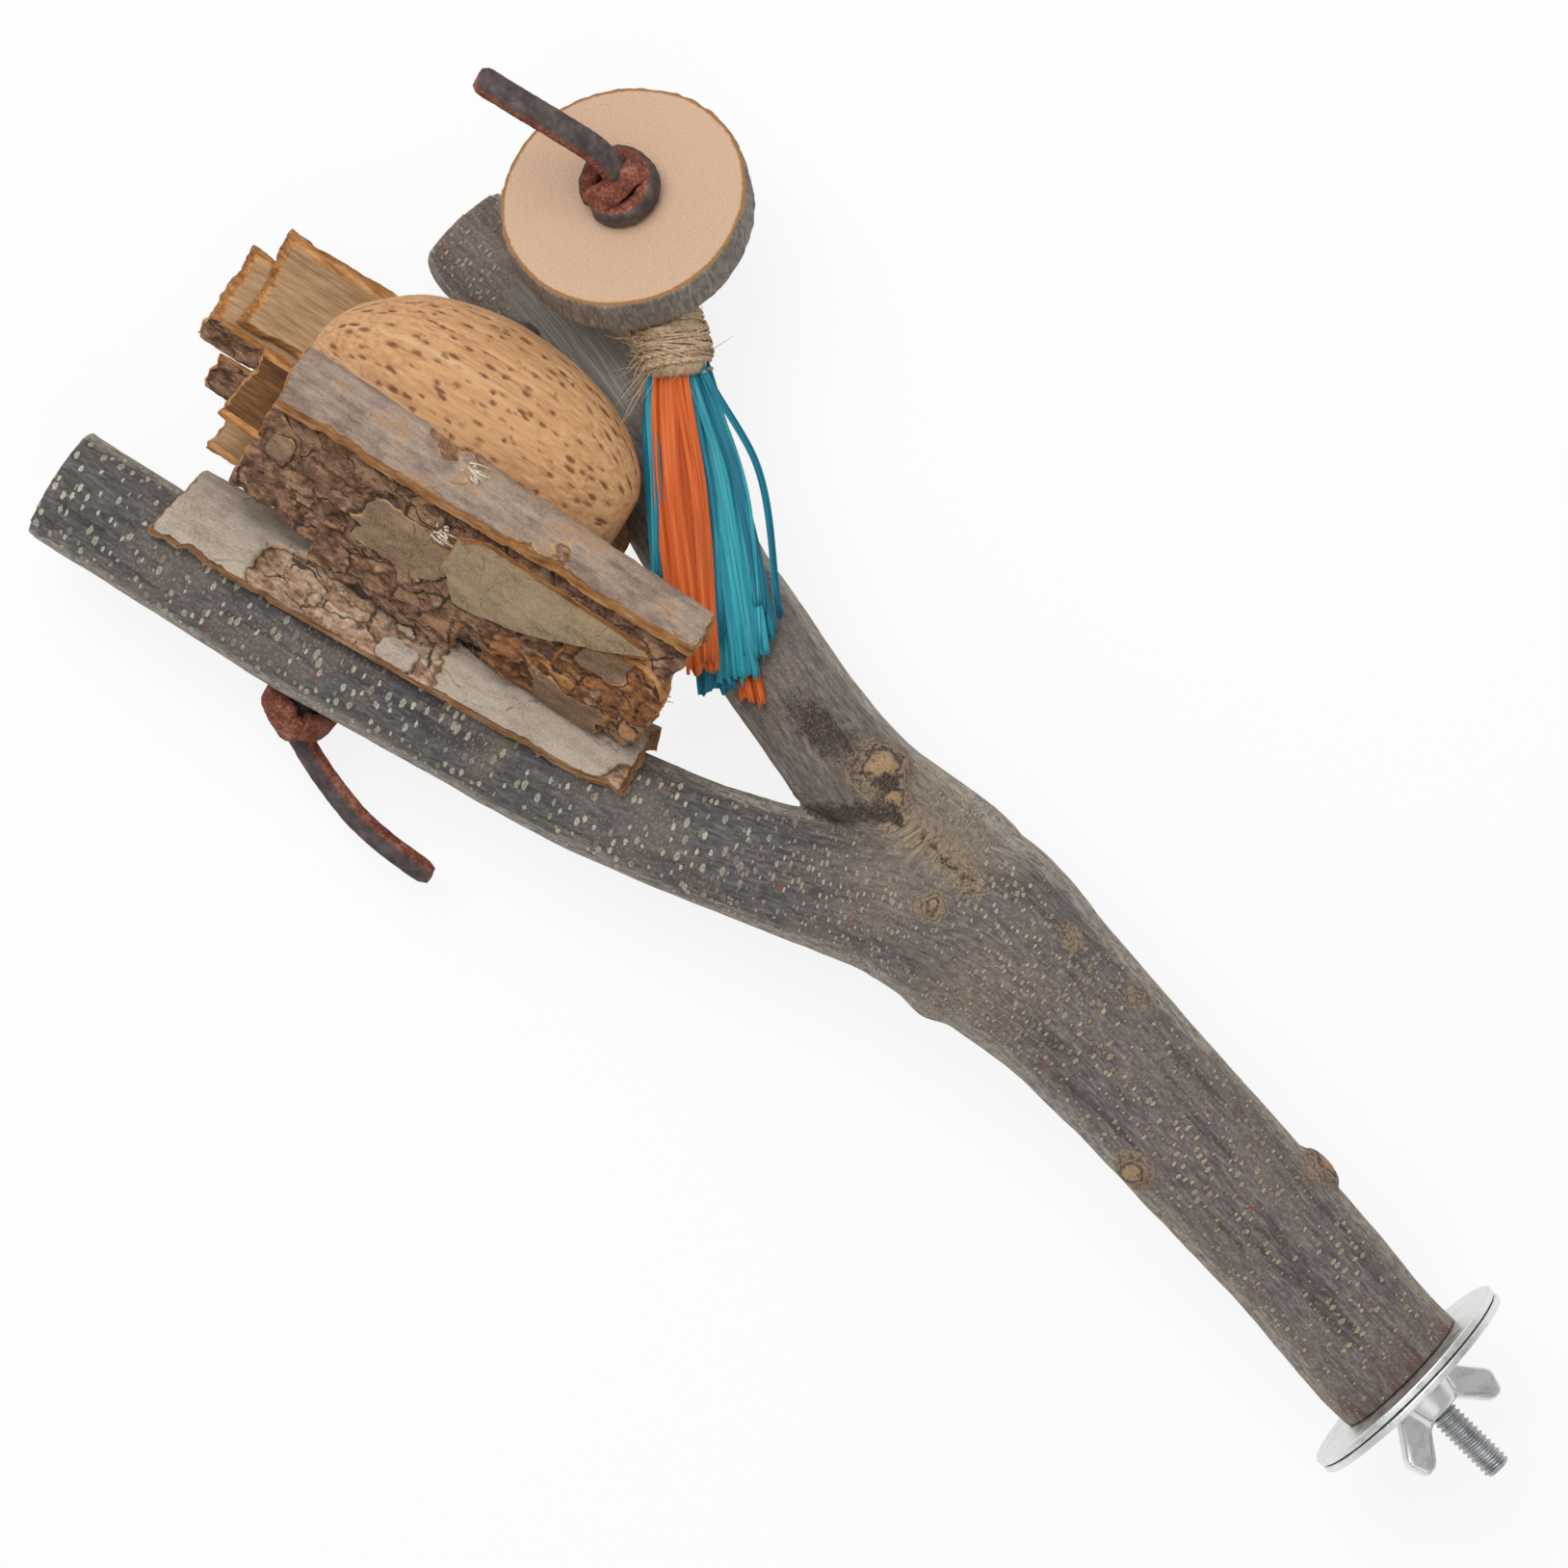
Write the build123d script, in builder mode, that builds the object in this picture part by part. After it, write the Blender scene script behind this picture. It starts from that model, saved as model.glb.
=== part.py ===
from build123d import *
import os
from math import atan2, cos, degrees, pi, radians, sin, sqrt, tan

os.makedirs("parts", exist_ok=True)

# Row frame: millimetres, +Z up. The stud lies on the X axis and points along -X.
# The clamping plane is X = 0.
# Toy frame: t runs along the lace from the front prong to the rear one, s runs outward along the bark, z is up.

# Clamp hardware: a quarter-inch hanger bolt with fender washers and a wing nut
stud_dia = 6.35
stud_free = 26.5
stud_chamfer = 0.8
free_length = 8.6
run_relief = 0.17
screw_dia = 5.8
screw_depth = 38.0
screw_fit = 0.03
washer_dia = 50.8
washer_bore = 7.1
washer_thick = 1.6
face_gap = 0.3
nut_bore_gap = 0.02
hub_dia_low = 13.0
hub_dia_top = 9.8
hub_height = 7.6
wing_span = 29.0
wing_rise = 14.5
wing_thick = 3.2
wing_roll = 24.0

# Branch: stations along the trunk and the two prongs as (x, y, z, radius)
trunk_radius = 15.6
fork_radius = 19.4
front_radius = 12.4
rear_radius = 10.8
front_drop = -6.0
rear_drop = -22.0
fork_x = 168.0
fork_y = 16.0
lace_x = 266.0
lace_y = 49.0
lace_skew = 96.21
prong_span = 84.0

# Leather lace
lace_width = 5.8
lace_thick = 3.4
lace_hole = 8.0
lace_rise = 39.0
lace_bend = 6.0
knot_ring = 6.0
knot_radial = 2.3
knot_axial = 4.2
fit_gap = 0.5

# Toys
slab_thick = 4.8
slab_gap = 3.0
slab_ahead = 43.0
slab_length = 112.0
scroll_thick = 3.8
scroll_gap = 1.8
scroll_ahead = 35.0
scroll_length = 99.0
scroll_turn = 1.5
nut_z = 7.5
nut_gap = 8.9
nut_share = 0.3806
nut_flatness = 0.737
trough_thick = 2.8
trough_ahead = 54.0
outer_ahead = 60.0
trough_behind = 7.0
slice_dia = 52.5
slice_thick = 11.0
slice_past = 27.8
slice_s = -2.6
slice_z = 10.0
slice_tilt = 26.0
slice_heading = 54.0

# Tassel
strip_width = 3.2
strip_thick = 0.8
strip_gap = 0.5
row_gap = 0.2
tie_radius = 7.0
twine_dia = 1.5
tie_turns = 4
tassel_head = 8.0
hanger_ring = 4.7
tie_shift = 2.0
tie_past = 5.0
tie_s = -29.5
tie_z = 4.2
tassel_lift = 1.5
tassel_reach = 58.0
tassel_turn = 53.0

# Directions of the toy frame, set by the front prong's
lace_heading = degrees(atan2(lace_y - fork_y, lace_x - fork_x)) - lace_skew
e_t = Vector(cos(radians(lace_heading)), sin(radians(lace_heading)), 0)
e_s = Vector(-e_t.Y, e_t.X, 0)
e_z = Vector(0, 0, 1)


def toy(t, s, z):
    """Row-frame point of a place in the toy frame."""
    return Vector(lace_x, lace_y, 0) + e_t * t + e_s * s + e_z * z


def toy_way(t, s, z):
    """Row-frame unit direction of a direction in the toy frame."""
    return (e_t * t + e_s * s + e_z * z).normalized()


def section(s):
    """Plane square to the bark at a place along it, with t across and z up."""
    return Plane(origin=toy(0, s, 0), x_dir=e_t, z_dir=e_s * -1)


def stations_to_planes(stations):
    """Planes square to a centreline at each of its stations."""
    points = [Vector(x, y, z) for x, y, z, _ in stations]
    planes = []
    for i, point in enumerate(points):
        ahead = points[min(i + 1, len(points) - 1)]
        behind = points[max(i - 1, 0)]
        planes.append(Plane(origin=point, z_dir=(ahead - behind).normalized()))
    return planes


def save(piece, label):
    """Names a finished solid and writes it as its own file."""
    piece.label = label
    export_step(piece, f"parts/{label}.step")


# Places along the lace, in the toy frame's (t, z): slab and scroll first, then the nut in the room that they leave
slab_inner = front_radius + slab_gap
scroll_leg_t = slab_inner + slab_thick + scroll_gap
nut_half_width = nut_share * (prong_span - scroll_leg_t)
nut_half_height = nut_flatness * nut_half_width
nut_t = scroll_leg_t + nut_gap + nut_half_width
trough_start = 0.928 * nut_half_width
slice_t = prong_span + slice_past
fall = (rear_drop - nut_z) / (prong_span - nut_t)
rise = tan(radians(lace_rise))
peak_t = (nut_z - fall * nut_t - front_drop) / (rise - fall)
peak_z = front_drop + rise * peak_t
rise_way = toy_way(1, 0, rise)
fall_way = toy_way(1, 0, fall)
front_hole = toy(0, 0, front_drop)
rear_hole = toy(prong_span, 0, rear_drop)
nut_centre = toy(nut_t, 0, nut_z)

slice_lean = sin(radians(slice_tilt))
slice_way = toy_way(
    slice_lean * cos(radians(slice_heading)), slice_lean * sin(radians(slice_heading)), cos(radians(slice_tilt))
)
slice_face = toy(slice_t, slice_s, slice_z)
slice_back = slice_face - slice_way * slice_thick
slice_entry = slice_back - slice_way * 12
upper_knot = slice_face + slice_way * (knot_axial + fit_gap)
lower_knot_reach = front_radius + 1.2 + knot_axial
lower_knot = front_hole - rise_way * lower_knot_reach

branch_end = face_gap * 1.5 + washer_thick


# Forked branch
def prong(start, end, places):
    """Stations between two points, from shares of the way, offsets in y and z, and radii."""
    way = end - start
    return [
        (start.X + share * way.X, start.Y + share * way.Y + bow, start.Z + share * way.Z + sag, radius)
        for share, bow, sag, radius in places
    ]


front_fork = Vector(fork_x, fork_y, -2)
front_tip = Vector(lace_x + 65, lace_y + 14.5, front_drop - 1)
rear_fork = Vector(fork_x - 3, fork_y - 24.6, -3)
trunk_stations = [
    (branch_end, 0, 0, trunk_radius),
    (branch_end + 9, 0, 0, trunk_radius),
    (26, -1.5, 0, trunk_radius),
    (51, -3.2, 0, trunk_radius + 0.5),
    (82, -4.6, 0, trunk_radius + 0.7),
    (104, -5.5, 0, trunk_radius + 1.7),
    (126, -4.2, 0, fork_radius),
    (147, 4, -1, 0.84 * fork_radius),
]
trunk_stations += prong(front_fork, front_hole, [
    (0, 0, 0, front_radius + 1.0),
    (0.235, 2.75, 0, front_radius + 0.2),
    (0.5, 3.0, -0.2, front_radius),
    (0.735, 1.75, -0.4, front_radius),
    (1, 0, 0, front_radius),
])
trunk_stations += prong(front_hole, front_tip, [
    (0.4, 0.2, 0, front_radius),
    (1, 0, 0, front_radius),
])
rear_stations = [
    (122, -4, 0, 0.72 * fork_radius),
    (146, -7, -1, 0.76 * fork_radius),
]
rear_stations += prong(rear_fork, rear_hole, [
    (0, 0, 0, rear_radius + 1.9),
    (0.126, 1.3, -0.1, rear_radius + 1.4),
    (0.294, 1.8, -0.4, rear_radius + 1.1),
    (0.538, 1.25, -1.1, rear_radius + 0.7),
    (0.781, -0.9, -1.2, rear_radius + 0.3),
    (1, 0, 0, rear_radius),
])
rear_stations.append((rear_hole.X + 26, rear_hole.Y - 1.4, rear_drop - 2.2, rear_radius - 0.4))
with BuildPart() as forked_branch:
    for run in (trunk_stations, rear_stations):
        for plane, station in zip(stations_to_planes(run), run):
            with BuildSketch(plane):
                Circle(station[3])
        loft()
    with BuildSketch(Plane(origin=(branch_end, 0, 0), z_dir=(1, 0, 0))):
        Circle(screw_dia / 2 + screw_fit)
    extrude(amount=screw_depth, mode=Mode.SUBTRACT)
    with BuildSketch(Plane(origin=front_hole, z_dir=rise_way)):
        Circle(lace_hole / 2)
    extrude(amount=2 * front_radius, both=True, mode=Mode.SUBTRACT)
    with BuildSketch(Plane(origin=rear_hole, z_dir=fall_way)):
        Circle(lace_hole / 2)
    extrude(amount=2 * rear_radius, both=True, mode=Mode.SUBTRACT)
save(forked_branch.part, "forked_branch")

# Hanger bolt: stud outside, a hair slimmer where the nut runs, and a pointed wood screw inside
with BuildPart() as hanger_bolt:
    with BuildSketch(Plane.XY):
        with BuildLine():
            Polyline(
                (-stud_free, 0),
                (-stud_free, stud_dia / 2 - stud_chamfer),
                (-stud_free + stud_chamfer, stud_dia / 2),
                (-stud_free + stud_chamfer + free_length, stud_dia / 2),
                (-stud_free + stud_chamfer + free_length, stud_dia / 2 - run_relief),
                (branch_end - screw_fit, stud_dia / 2 - run_relief),
                (branch_end - screw_fit, screw_dia / 2),
                (branch_end + screw_depth - 7, screw_dia / 2),
                (branch_end + screw_depth - 1, 0),
                close=True,
            )
        make_face()
    revolve(axis=Axis.X)
save(hanger_bolt.part, "hanger_bolt")


# Fender washers
def washer(start):
    """Flat ring on the stud whose outer face is at a place along X."""
    with BuildPart() as ring:
        with BuildSketch(Plane(origin=(start, 0, 0), z_dir=(1, 0, 0))):
            Circle(washer_dia / 2)
            Circle(washer_bore / 2, mode=Mode.SUBTRACT)
        extrude(amount=washer_thick)
        fillet(ring.edges().filter_by(GeomType.CIRCLE).group_by(SortBy.RADIUS)[-1], 0.4)
    return ring.part


save(washer(face_gap / 2), "inner_washer")
save(washer(-face_gap / 2 - washer_thick), "outer_washer")

# Wing nut: coned hub and two wings that lean toward the free end of the stud
nut_base = -1.5 * face_gap - washer_thick
nut_plane = Plane(
    origin=(nut_base, 0, 0), x_dir=(0, cos(radians(wing_roll)), sin(radians(wing_roll))), z_dir=(-1, 0, 0)
)
wing_plane = Plane(origin=nut_plane.origin, x_dir=nut_plane.x_dir, z_dir=nut_plane.x_dir.cross(nut_plane.z_dir))
with BuildPart() as wing_nut:
    with BuildSketch(nut_plane):
        Circle(hub_dia_low / 2)
    extrude(amount=hub_height, taper=degrees(atan2((hub_dia_low - hub_dia_top) / 2, hub_height)))
    for side in (1, -1):
        with BuildSketch(wing_plane):
            with BuildLine():
                Polyline(
                    (side * 0.22 * wing_span / 2, 0.6),
                    (side * 0.62 * wing_span / 2, 0.20 * wing_rise),
                    (side * wing_span / 2, 0.66 * wing_rise),
                    (side * 0.88 * wing_span / 2, wing_rise),
                    (side * 0.70 * wing_span / 2, 0.99 * wing_rise),
                    (side * 0.28 * wing_span / 2, 0.50 * wing_rise),
                    close=True,
                )
            make_face()
        extrude(amount=wing_thick / 2, both=True)
    with BuildSketch(nut_plane):
        Circle(stud_dia / 2 + nut_bore_gap)
    extrude(amount=2 * wing_rise, both=True, mode=Mode.SUBTRACT)
save(wing_nut.part, "wing_nut")

# Lace, whole along its held route: front prong, toys, rear prong, slice
turn_below = toy(prong_span + 15, 0, rear_drop + 15 * fall)
lower_end = lower_knot - rise_way * knot_axial
upper_end = upper_knot + slice_way * knot_axial
lace_points = [lower_end, toy(peak_t, 0, peak_z), turn_below, slice_entry, upper_end]
with BuildPart() as lace_run:
    with BuildLine() as lace_path:
        FilletPolyline(*lace_points, radius=(lace_bend, lace_bend, 8.0))
    with BuildSketch(Plane(origin=lower_end, x_dir=e_s, z_dir=rise_way)):
        Rectangle(lace_width, lace_thick)
    sweep(path=lace_path.wires()[0])
save(lace_run.part, "lace_run")


# Lace knots and free tails
def knot(centre, way):
    """Rounded turn of lace drawn tight round the lace itself."""
    side = Plane(origin=centre, z_dir=way)
    with BuildPart() as turn:
        with BuildSketch(Plane(origin=centre, x_dir=side.x_dir, z_dir=side.x_dir.cross(way))):
            with Locations((knot_ring, 0)):
                Ellipse(knot_radial, knot_axial)
        revolve(axis=Axis(centre, way))
    return turn.part


def bend_radii(points):
    """Radius at each corner of a route, as large as the two runs beside it leave room for."""
    radii = []
    for before, corner, after in zip(points, points[1:], points[2:]):
        half_turn = radians((corner - before).get_angle(after - corner)) / 2
        shorter = min((corner - before).length, (after - corner).length)
        radii.append(0.45 * shorter / tan(half_turn))
    return radii


def tail(points, across):
    """Free end of lace along straight runs and arcs."""
    radii = bend_radii(points)
    with BuildPart() as strand:
        with BuildLine() as route:
            FilletPolyline(*points, radius=radii)
        with BuildSketch(Plane(origin=points[0], x_dir=across, z_dir=(points[1] - points[0]).normalized())):
            Rectangle(lace_width, lace_thick)
        sweep(path=route.wires()[0])
    expected = route.wires()[0].length * lace_width * lace_thick
    print("tail radii", [round(radius, 1) for radius in radii], "volume", round(strand.part.volume / expected, 3))
    return strand.part


save(knot(lower_knot, rise_way), "lace_lower_knot")
save(knot(upper_knot, slice_way), "lace_upper_knot")

lower_tail_points = [
    lower_end,
    lower_end - rise_way * 9,
    toy(-30.5, -11, -24),
    toy(-31, -27, -21.5),
    toy(-29, -42, -19.5),
]
save(tail(lower_tail_points, e_s), "lace_lower_tail")

upper_tail_points = [
    upper_end,
    upper_end + slice_way * 7,
    toy(slice_t + 3.7, 14, slice_z + 20),
    toy(slice_t + 3.2, 24, slice_z + 23.5),
    toy(slice_t + 3, 33, slice_z + 26),
]
save(tail(upper_tail_points, e_t), "lace_upper_tail")

# Wood slice
with BuildPart() as wood_slice:
    with BuildSketch(Plane(origin=slice_back, z_dir=slice_way)):
        Circle(slice_dia / 2)
        Circle(lace_hole / 2, mode=Mode.SUBTRACT)
    extrude(amount=slice_thick)
save(wood_slice.part, "wood_slice")

# Nut shell: almond-like, pointed outward, with a straight hole for the lace
nut_profile = [
    (35.5, 0.16, -0.5),
    (30, 0.50, -0.2),
    (20, 0.82, 0),
    (6, 0.99, 0),
    (-6, 1.0, 0),
    (-18, 0.92, 0),
    (-28, 0.74, 0),
    (-35, 0.50, 0),
    (-38.5, 0.25, 0),
]
with BuildPart() as nut_shell:
    for s, share, shift in nut_profile:
        with BuildSketch(section(s)):
            with Locations((nut_t + shift, nut_z)):
                Ellipse(nut_half_width * share, nut_half_height * share)
    loft()
    with BuildSketch(Plane(origin=nut_centre, z_dir=fall_way)):
        Circle(lace_hole / 2)
    extrude(amount=2 * nut_half_width, both=True, mode=Mode.SUBTRACT)
save(nut_shell.part, "nut_shell")


# Bark pieces
def arc_band(start, length, centre, inner, outer, first, last):
    """Curled strip of bark: an arc-shaped section run along s, pierced later by the lace."""
    def at(radius, angle):
        return (centre[0] + radius * cos(radians(angle)), centre[1] + radius * sin(radians(angle)))

    middle = (first + last) / 2
    with BuildPart() as band:
        with BuildSketch(start):
            with BuildLine():
                ThreePointArc(at(inner, first), at(inner, middle), at(inner, last))
                Line(at(inner, last), at(outer, last))
                ThreePointArc(at(outer, last), at(outer, middle), at(outer, first))
                Line(at(outer, first), at(inner, first))
            make_face()
        extrude(amount=length)
    return band.part


def pierce(piece, centre, way, reach):
    """Drills the lace hole through a piece."""
    with BuildPart() as drilled:
        add(piece)
        with BuildSketch(Plane(origin=centre, z_dir=way)):
            Circle(lace_hole / 2)
        extrude(amount=reach, both=True, mode=Mode.SUBTRACT)
    return drilled.part


# Slab: lies round the upper side of the front prong and follows it
prong_way = (front_tip - Vector(*trunk_stations[-6][:3])).normalized()
slab_start = Plane(origin=front_hole + prong_way * slab_ahead, x_dir=e_t, z_dir=prong_way * -1)
slab = arc_band(slab_start, slab_length, (0, 0), slab_inner, slab_inner + slab_thick, 2, 79)
save(pierce(slab, front_hole, rise_way, 2 * slab_inner), "bark_slab")

# Scroll: leg, roof over the lace, and a lip folded back on top, turned a little from the other toys
scroll_points = [
    (scroll_leg_t + 4.6, peak_z - 23),
    (scroll_leg_t - 1.6, peak_z - 11),
    (peak_t - 12.6, peak_z - 1.8),
    (peak_t - 2.6, peak_z + 3.2),
    (peak_t + 9.6, peak_z + 4.8),
    (peak_t + 9.4, peak_z + 10),
    (peak_t - 1.8, peak_z + 9),
]
scroll_side = e_t.rotate(Axis.Z, -scroll_turn)
scroll_way = e_s.rotate(Axis.Z, -scroll_turn)
scroll_start = Plane(origin=toy(0, 0, 0) + scroll_way * scroll_ahead, x_dir=scroll_side, z_dir=scroll_way * -1)
with BuildPart() as bark_scroll:
    with BuildSketch(scroll_start):
        with BuildLine() as scroll_line:
            FilletPolyline(*scroll_points, radius=2.2)
        trace(line_width=scroll_thick)
    extrude(amount=scroll_length)
scroll_hit = toy(scroll_leg_t, 0, front_drop + rise * scroll_leg_t)
save(pierce(bark_scroll.part, scroll_hit, rise_way, 7), "bark_scroll")

# Troughs: two nested curls between the nut and the rear prong, each cut back along its upper rim past the lace
fall_angle = degrees(atan2(fall, 1))


def trough(ahead, inner, low_angle, rim_t):
    """One curl about the nut, pierced by the lace and cut back to a rim."""
    band = arc_band(
        section(ahead), ahead + trough_behind, (nut_t, nut_z), inner, inner + trough_thick,
        fall_angle - low_angle, fall_angle + 13,
    )
    far_t = nut_t + 2 * nut_half_width
    with BuildPart() as curl:
        add(pierce(band, nut_centre, fall_way, 2 * nut_half_width))
        with BuildSketch(Plane.XY):
            with BuildLine():
                Polyline(toy(far_t, 8, 0), toy(rim_t, 20, 0), toy(rim_t, 70, 0), toy(far_t, 70, 0), close=True)
            make_face()
        extrude(amount=3 * nut_half_width, both=True, mode=Mode.SUBTRACT)
    return curl.part


outer_start = trough_start + trough_thick + fit_gap
inner_rim = nut_t + 0.7 * nut_half_width
outer_rim = nut_t + 0.49 * nut_half_width
save(trough(trough_ahead, trough_start, 61, inner_rim), "bark_trough_inner")
save(trough(outer_ahead, outer_start, 73, outer_rim), "bark_trough_outer")

# Tassel: strips gathered at the tie and spread toward their ends
tie_centre = toy(prong_span + tie_past, tie_s, tie_z)
tassel_flat = e_s.rotate(Axis.Z, 180 - tassel_turn)
tassel_way = (tassel_flat * tassel_reach + e_z * tassel_lift).normalized()
tassel_side = e_z.cross(tassel_way).normalized()
tassel_up = tassel_way.cross(tassel_side)


def strip(row, layer, spread, length):
    """One flat strip from the head, through the tie, to its free end."""
    place = tassel_side * (row * (strip_width + row_gap)) + tassel_up * (layer * (strip_thick + strip_gap))
    head = tie_centre - tassel_way * tassel_head + place
    neck = tie_centre + place
    end = tie_centre + tassel_way * length + tassel_side * spread + tassel_up * (layer * (strip_thick + strip_gap))
    with BuildPart() as ribbon:
        with BuildLine() as route:
            FilletPolyline(head, neck, end, radius=40)
        with BuildSketch(Plane(origin=head, x_dir=tassel_side, z_dir=(neck - head).normalized())):
            Rectangle(strip_width, strip_thick)
        sweep(path=route.wires()[0])
    return ribbon.part


# Strips as (row across, layer, sideways place of the end, length past the tie)
tassel_groups = {
    "tassel_teal_left": [(-1, -1, -7.6, 48), (-1, 0, -5.4, 51), (-1, 1, -2.2, 54)],
    "tassel_orange": [(0, 0, -1.4, 60), (0, 1, 1.2, 64), (0, 2, 3.2, 66)],
    "tassel_teal_right": [(0, -1, 6.4, 68), (1, -1, 10.0, 68), (1, 0, 13.4, 64), (1, 1, 18.4, 50)],
}
for label, rows in tassel_groups.items():
    save(Compound(children=[strip(*values) for values in rows]), label)


# Jute tie wound round the gathered strips
def biarc(start, start_way, end, end_way):
    """Two arcs that join two places and keep the direction at each."""
    chord = end - start
    ways = chord.dot(start_way + end_way)
    spread = 1 - start_way.dot(end_way)
    reach = (sqrt(ways**2 + 2 * spread * chord.dot(chord)) - ways) / (2 * spread)
    first = start + start_way * reach
    last = end - end_way * reach
    middle = (first + last) * 0.5
    TangentArc(start, middle, tangent=start_way)
    TangentArc(middle, end, tangent=(last - first).normalized())


tie_pitch = 1.4 * twine_dia
tie_start = tie_centre - tassel_way * (tie_turns * tie_pitch / 2 + tie_shift)
turn_points = []
turn_ways = []
for quarter in range(4 * tie_turns + 1):
    angle = quarter * pi / 2
    outward = tassel_side * cos(angle) + tassel_up * sin(angle)
    along = tassel_up * cos(angle) - tassel_side * sin(angle)
    turn_points.append(tie_start + tassel_way * (tie_pitch * quarter / 4) + outward * tie_radius)
    turn_ways.append((along * (2 * pi * tie_radius) + tassel_way * tie_pitch).normalized())
tie_from = turn_points[0] - turn_ways[0] * twine_dia
with BuildPart() as jute_tie:
    with BuildLine() as winding:
        Line(tie_from, turn_points[0])
        for i in range(4 * tie_turns):
            biarc(turn_points[i], turn_ways[i], turn_points[i + 1], turn_ways[i + 1])
        Line(turn_points[-1], turn_points[-1] + turn_ways[-1] * twine_dia)
    with BuildSketch(Plane(origin=tie_from, z_dir=turn_ways[0])):
        Circle(twine_dia / 2)
    sweep(path=winding.wires()[0])
save(jute_tie.part, "jute_tie")

# Least gap of the winding to itself, on points a half turn or more apart
steps = 30 * tie_turns
tie_wire = winding.wires()[0]
tie_places = [tie_wire @ (i / steps) for i in range(steps + 1)]
pairs = [(i, j) for i in range(steps + 1) for j in range(i + 15, steps + 1)]
least = min((tie_places[i] - tie_places[j]).length for i, j in pairs)
print("least gap in the winding", round(least - twine_dia, 2))

# Jute hanger: a ring round the lace under the slice, with a leg to the tassel's head
ring_centre = slice_entry + slice_way * 6
leg_end = tie_centre - tassel_way * (tassel_head + fit_gap)
leg_way = (leg_end - ring_centre).normalized()
ring_side = leg_way - slice_way * leg_way.dot(slice_way)
leg_start = ring_centre + ring_side.normalized() * hanger_ring
with BuildPart() as jute_hanger:
    with BuildSketch(Plane(origin=ring_centre, x_dir=ring_side, z_dir=ring_side.cross(slice_way))):
        with Locations((hanger_ring, 0)):
            Circle(twine_dia / 2)
    revolve(axis=Axis(ring_centre, slice_way))
    with BuildSketch(Plane(origin=leg_start, z_dir=(leg_end - leg_start).normalized())):
        Circle(twine_dia / 2)
    extrude(amount=(leg_end - leg_start).length)
save(jute_hanger.part, "jute_hanger")
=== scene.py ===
import math
import random

import bmesh
import bpy
import numpy as np
from mathutils import Matrix, Vector, noise


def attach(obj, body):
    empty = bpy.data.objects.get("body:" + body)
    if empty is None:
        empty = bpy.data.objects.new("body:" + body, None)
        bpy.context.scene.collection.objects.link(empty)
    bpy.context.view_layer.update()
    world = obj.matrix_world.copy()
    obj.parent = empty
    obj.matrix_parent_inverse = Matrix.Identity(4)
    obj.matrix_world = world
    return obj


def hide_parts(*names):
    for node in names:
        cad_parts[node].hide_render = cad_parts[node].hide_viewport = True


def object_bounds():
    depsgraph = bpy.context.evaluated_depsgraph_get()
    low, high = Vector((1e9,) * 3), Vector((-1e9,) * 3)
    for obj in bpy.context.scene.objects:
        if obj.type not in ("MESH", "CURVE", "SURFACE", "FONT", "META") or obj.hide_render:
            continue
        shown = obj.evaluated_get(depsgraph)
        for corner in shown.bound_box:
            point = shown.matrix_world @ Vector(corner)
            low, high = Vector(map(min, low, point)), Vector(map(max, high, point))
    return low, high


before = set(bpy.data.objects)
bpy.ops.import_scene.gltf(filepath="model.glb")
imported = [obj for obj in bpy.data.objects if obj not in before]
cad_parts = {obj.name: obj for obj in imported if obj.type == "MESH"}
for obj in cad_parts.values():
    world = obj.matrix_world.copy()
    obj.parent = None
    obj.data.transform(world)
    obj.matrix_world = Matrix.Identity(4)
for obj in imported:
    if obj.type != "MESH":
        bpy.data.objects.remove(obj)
cad_low, cad_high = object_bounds()
scene = bpy.context.scene
scene.view_settings.view_transform = "Standard"
random.seed(11)
noise.seed_set(11)

# Lengths are in metres, written as millimetres times mm
mm = 0.001
grid_step = 0.5

# Toy frame: t runs along the lace, s outward along the bark, z up
lace_x, lace_y = 266.0, 49.0
lace_heading = math.radians(-77.6)
e_t = Vector((math.cos(lace_heading), math.sin(lace_heading), 0))
e_s = Vector((-e_t.y, e_t.x, 0))
e_z = Vector((0, 0, 1))
front_drop, rear_drop, prong_span = -6.0, -22.0, 84.0
nut_t, nut_z, nut_half_width, nut_half_height = 54.5, 7.5, 23.6, 17.4
peak_t, peak_z = 37.57, 24.43
lace_rise = math.tan(math.radians(39))
lace_width, lace_thick = 5.8 * mm, 3.4 * mm
knot_axial = 4.2


def toy(t, s, z):
    """Row-frame point, in metres, of a place in the toy frame in millimetres."""
    return (Vector((lace_x, lace_y, 0)) + e_t * t + e_s * s + e_z * z) * mm


def toy_way(t, s, z):
    """Row-frame unit direction of a direction in the toy frame."""
    return (e_t * t + e_s * s + e_z * z).normalized()


rise_way = toy_way(1, 0, lace_rise)
slice_tilt, slice_heading = math.radians(26), math.radians(54)
slice_lean = math.sin(slice_tilt)
slice_flat = (slice_lean * math.cos(slice_heading), slice_lean * math.sin(slice_heading))
slice_way = toy_way(*slice_flat, math.cos(slice_tilt))
slice_face = toy(111.8, -2.6, 10)
upper_knot_gap, lower_knot_gap = 4.7, 17.8
upper_knot = slice_face + slice_way * upper_knot_gap * mm
lower_knot = toy(0, 0, front_drop) - rise_way * lower_knot_gap * mm
lower_end = lower_knot - rise_way * knot_axial * mm
upper_end = upper_knot + slice_way * knot_axial * mm

# Directions of the photograph's frame, seen from above
image_right = Vector((-0.714, -0.700, 0))
image_up = Vector((0.700, -0.714, 0))


# Materials: colours are given as display colours from 0 to 255
band_places = (0.3, 0.5, 0.72)


def tint(red, green, blue):
    """Linear colour, with full cover, of a display colour."""
    return (*((value / 255) ** 2.2 for value in (red, green, blue)), 1)


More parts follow.
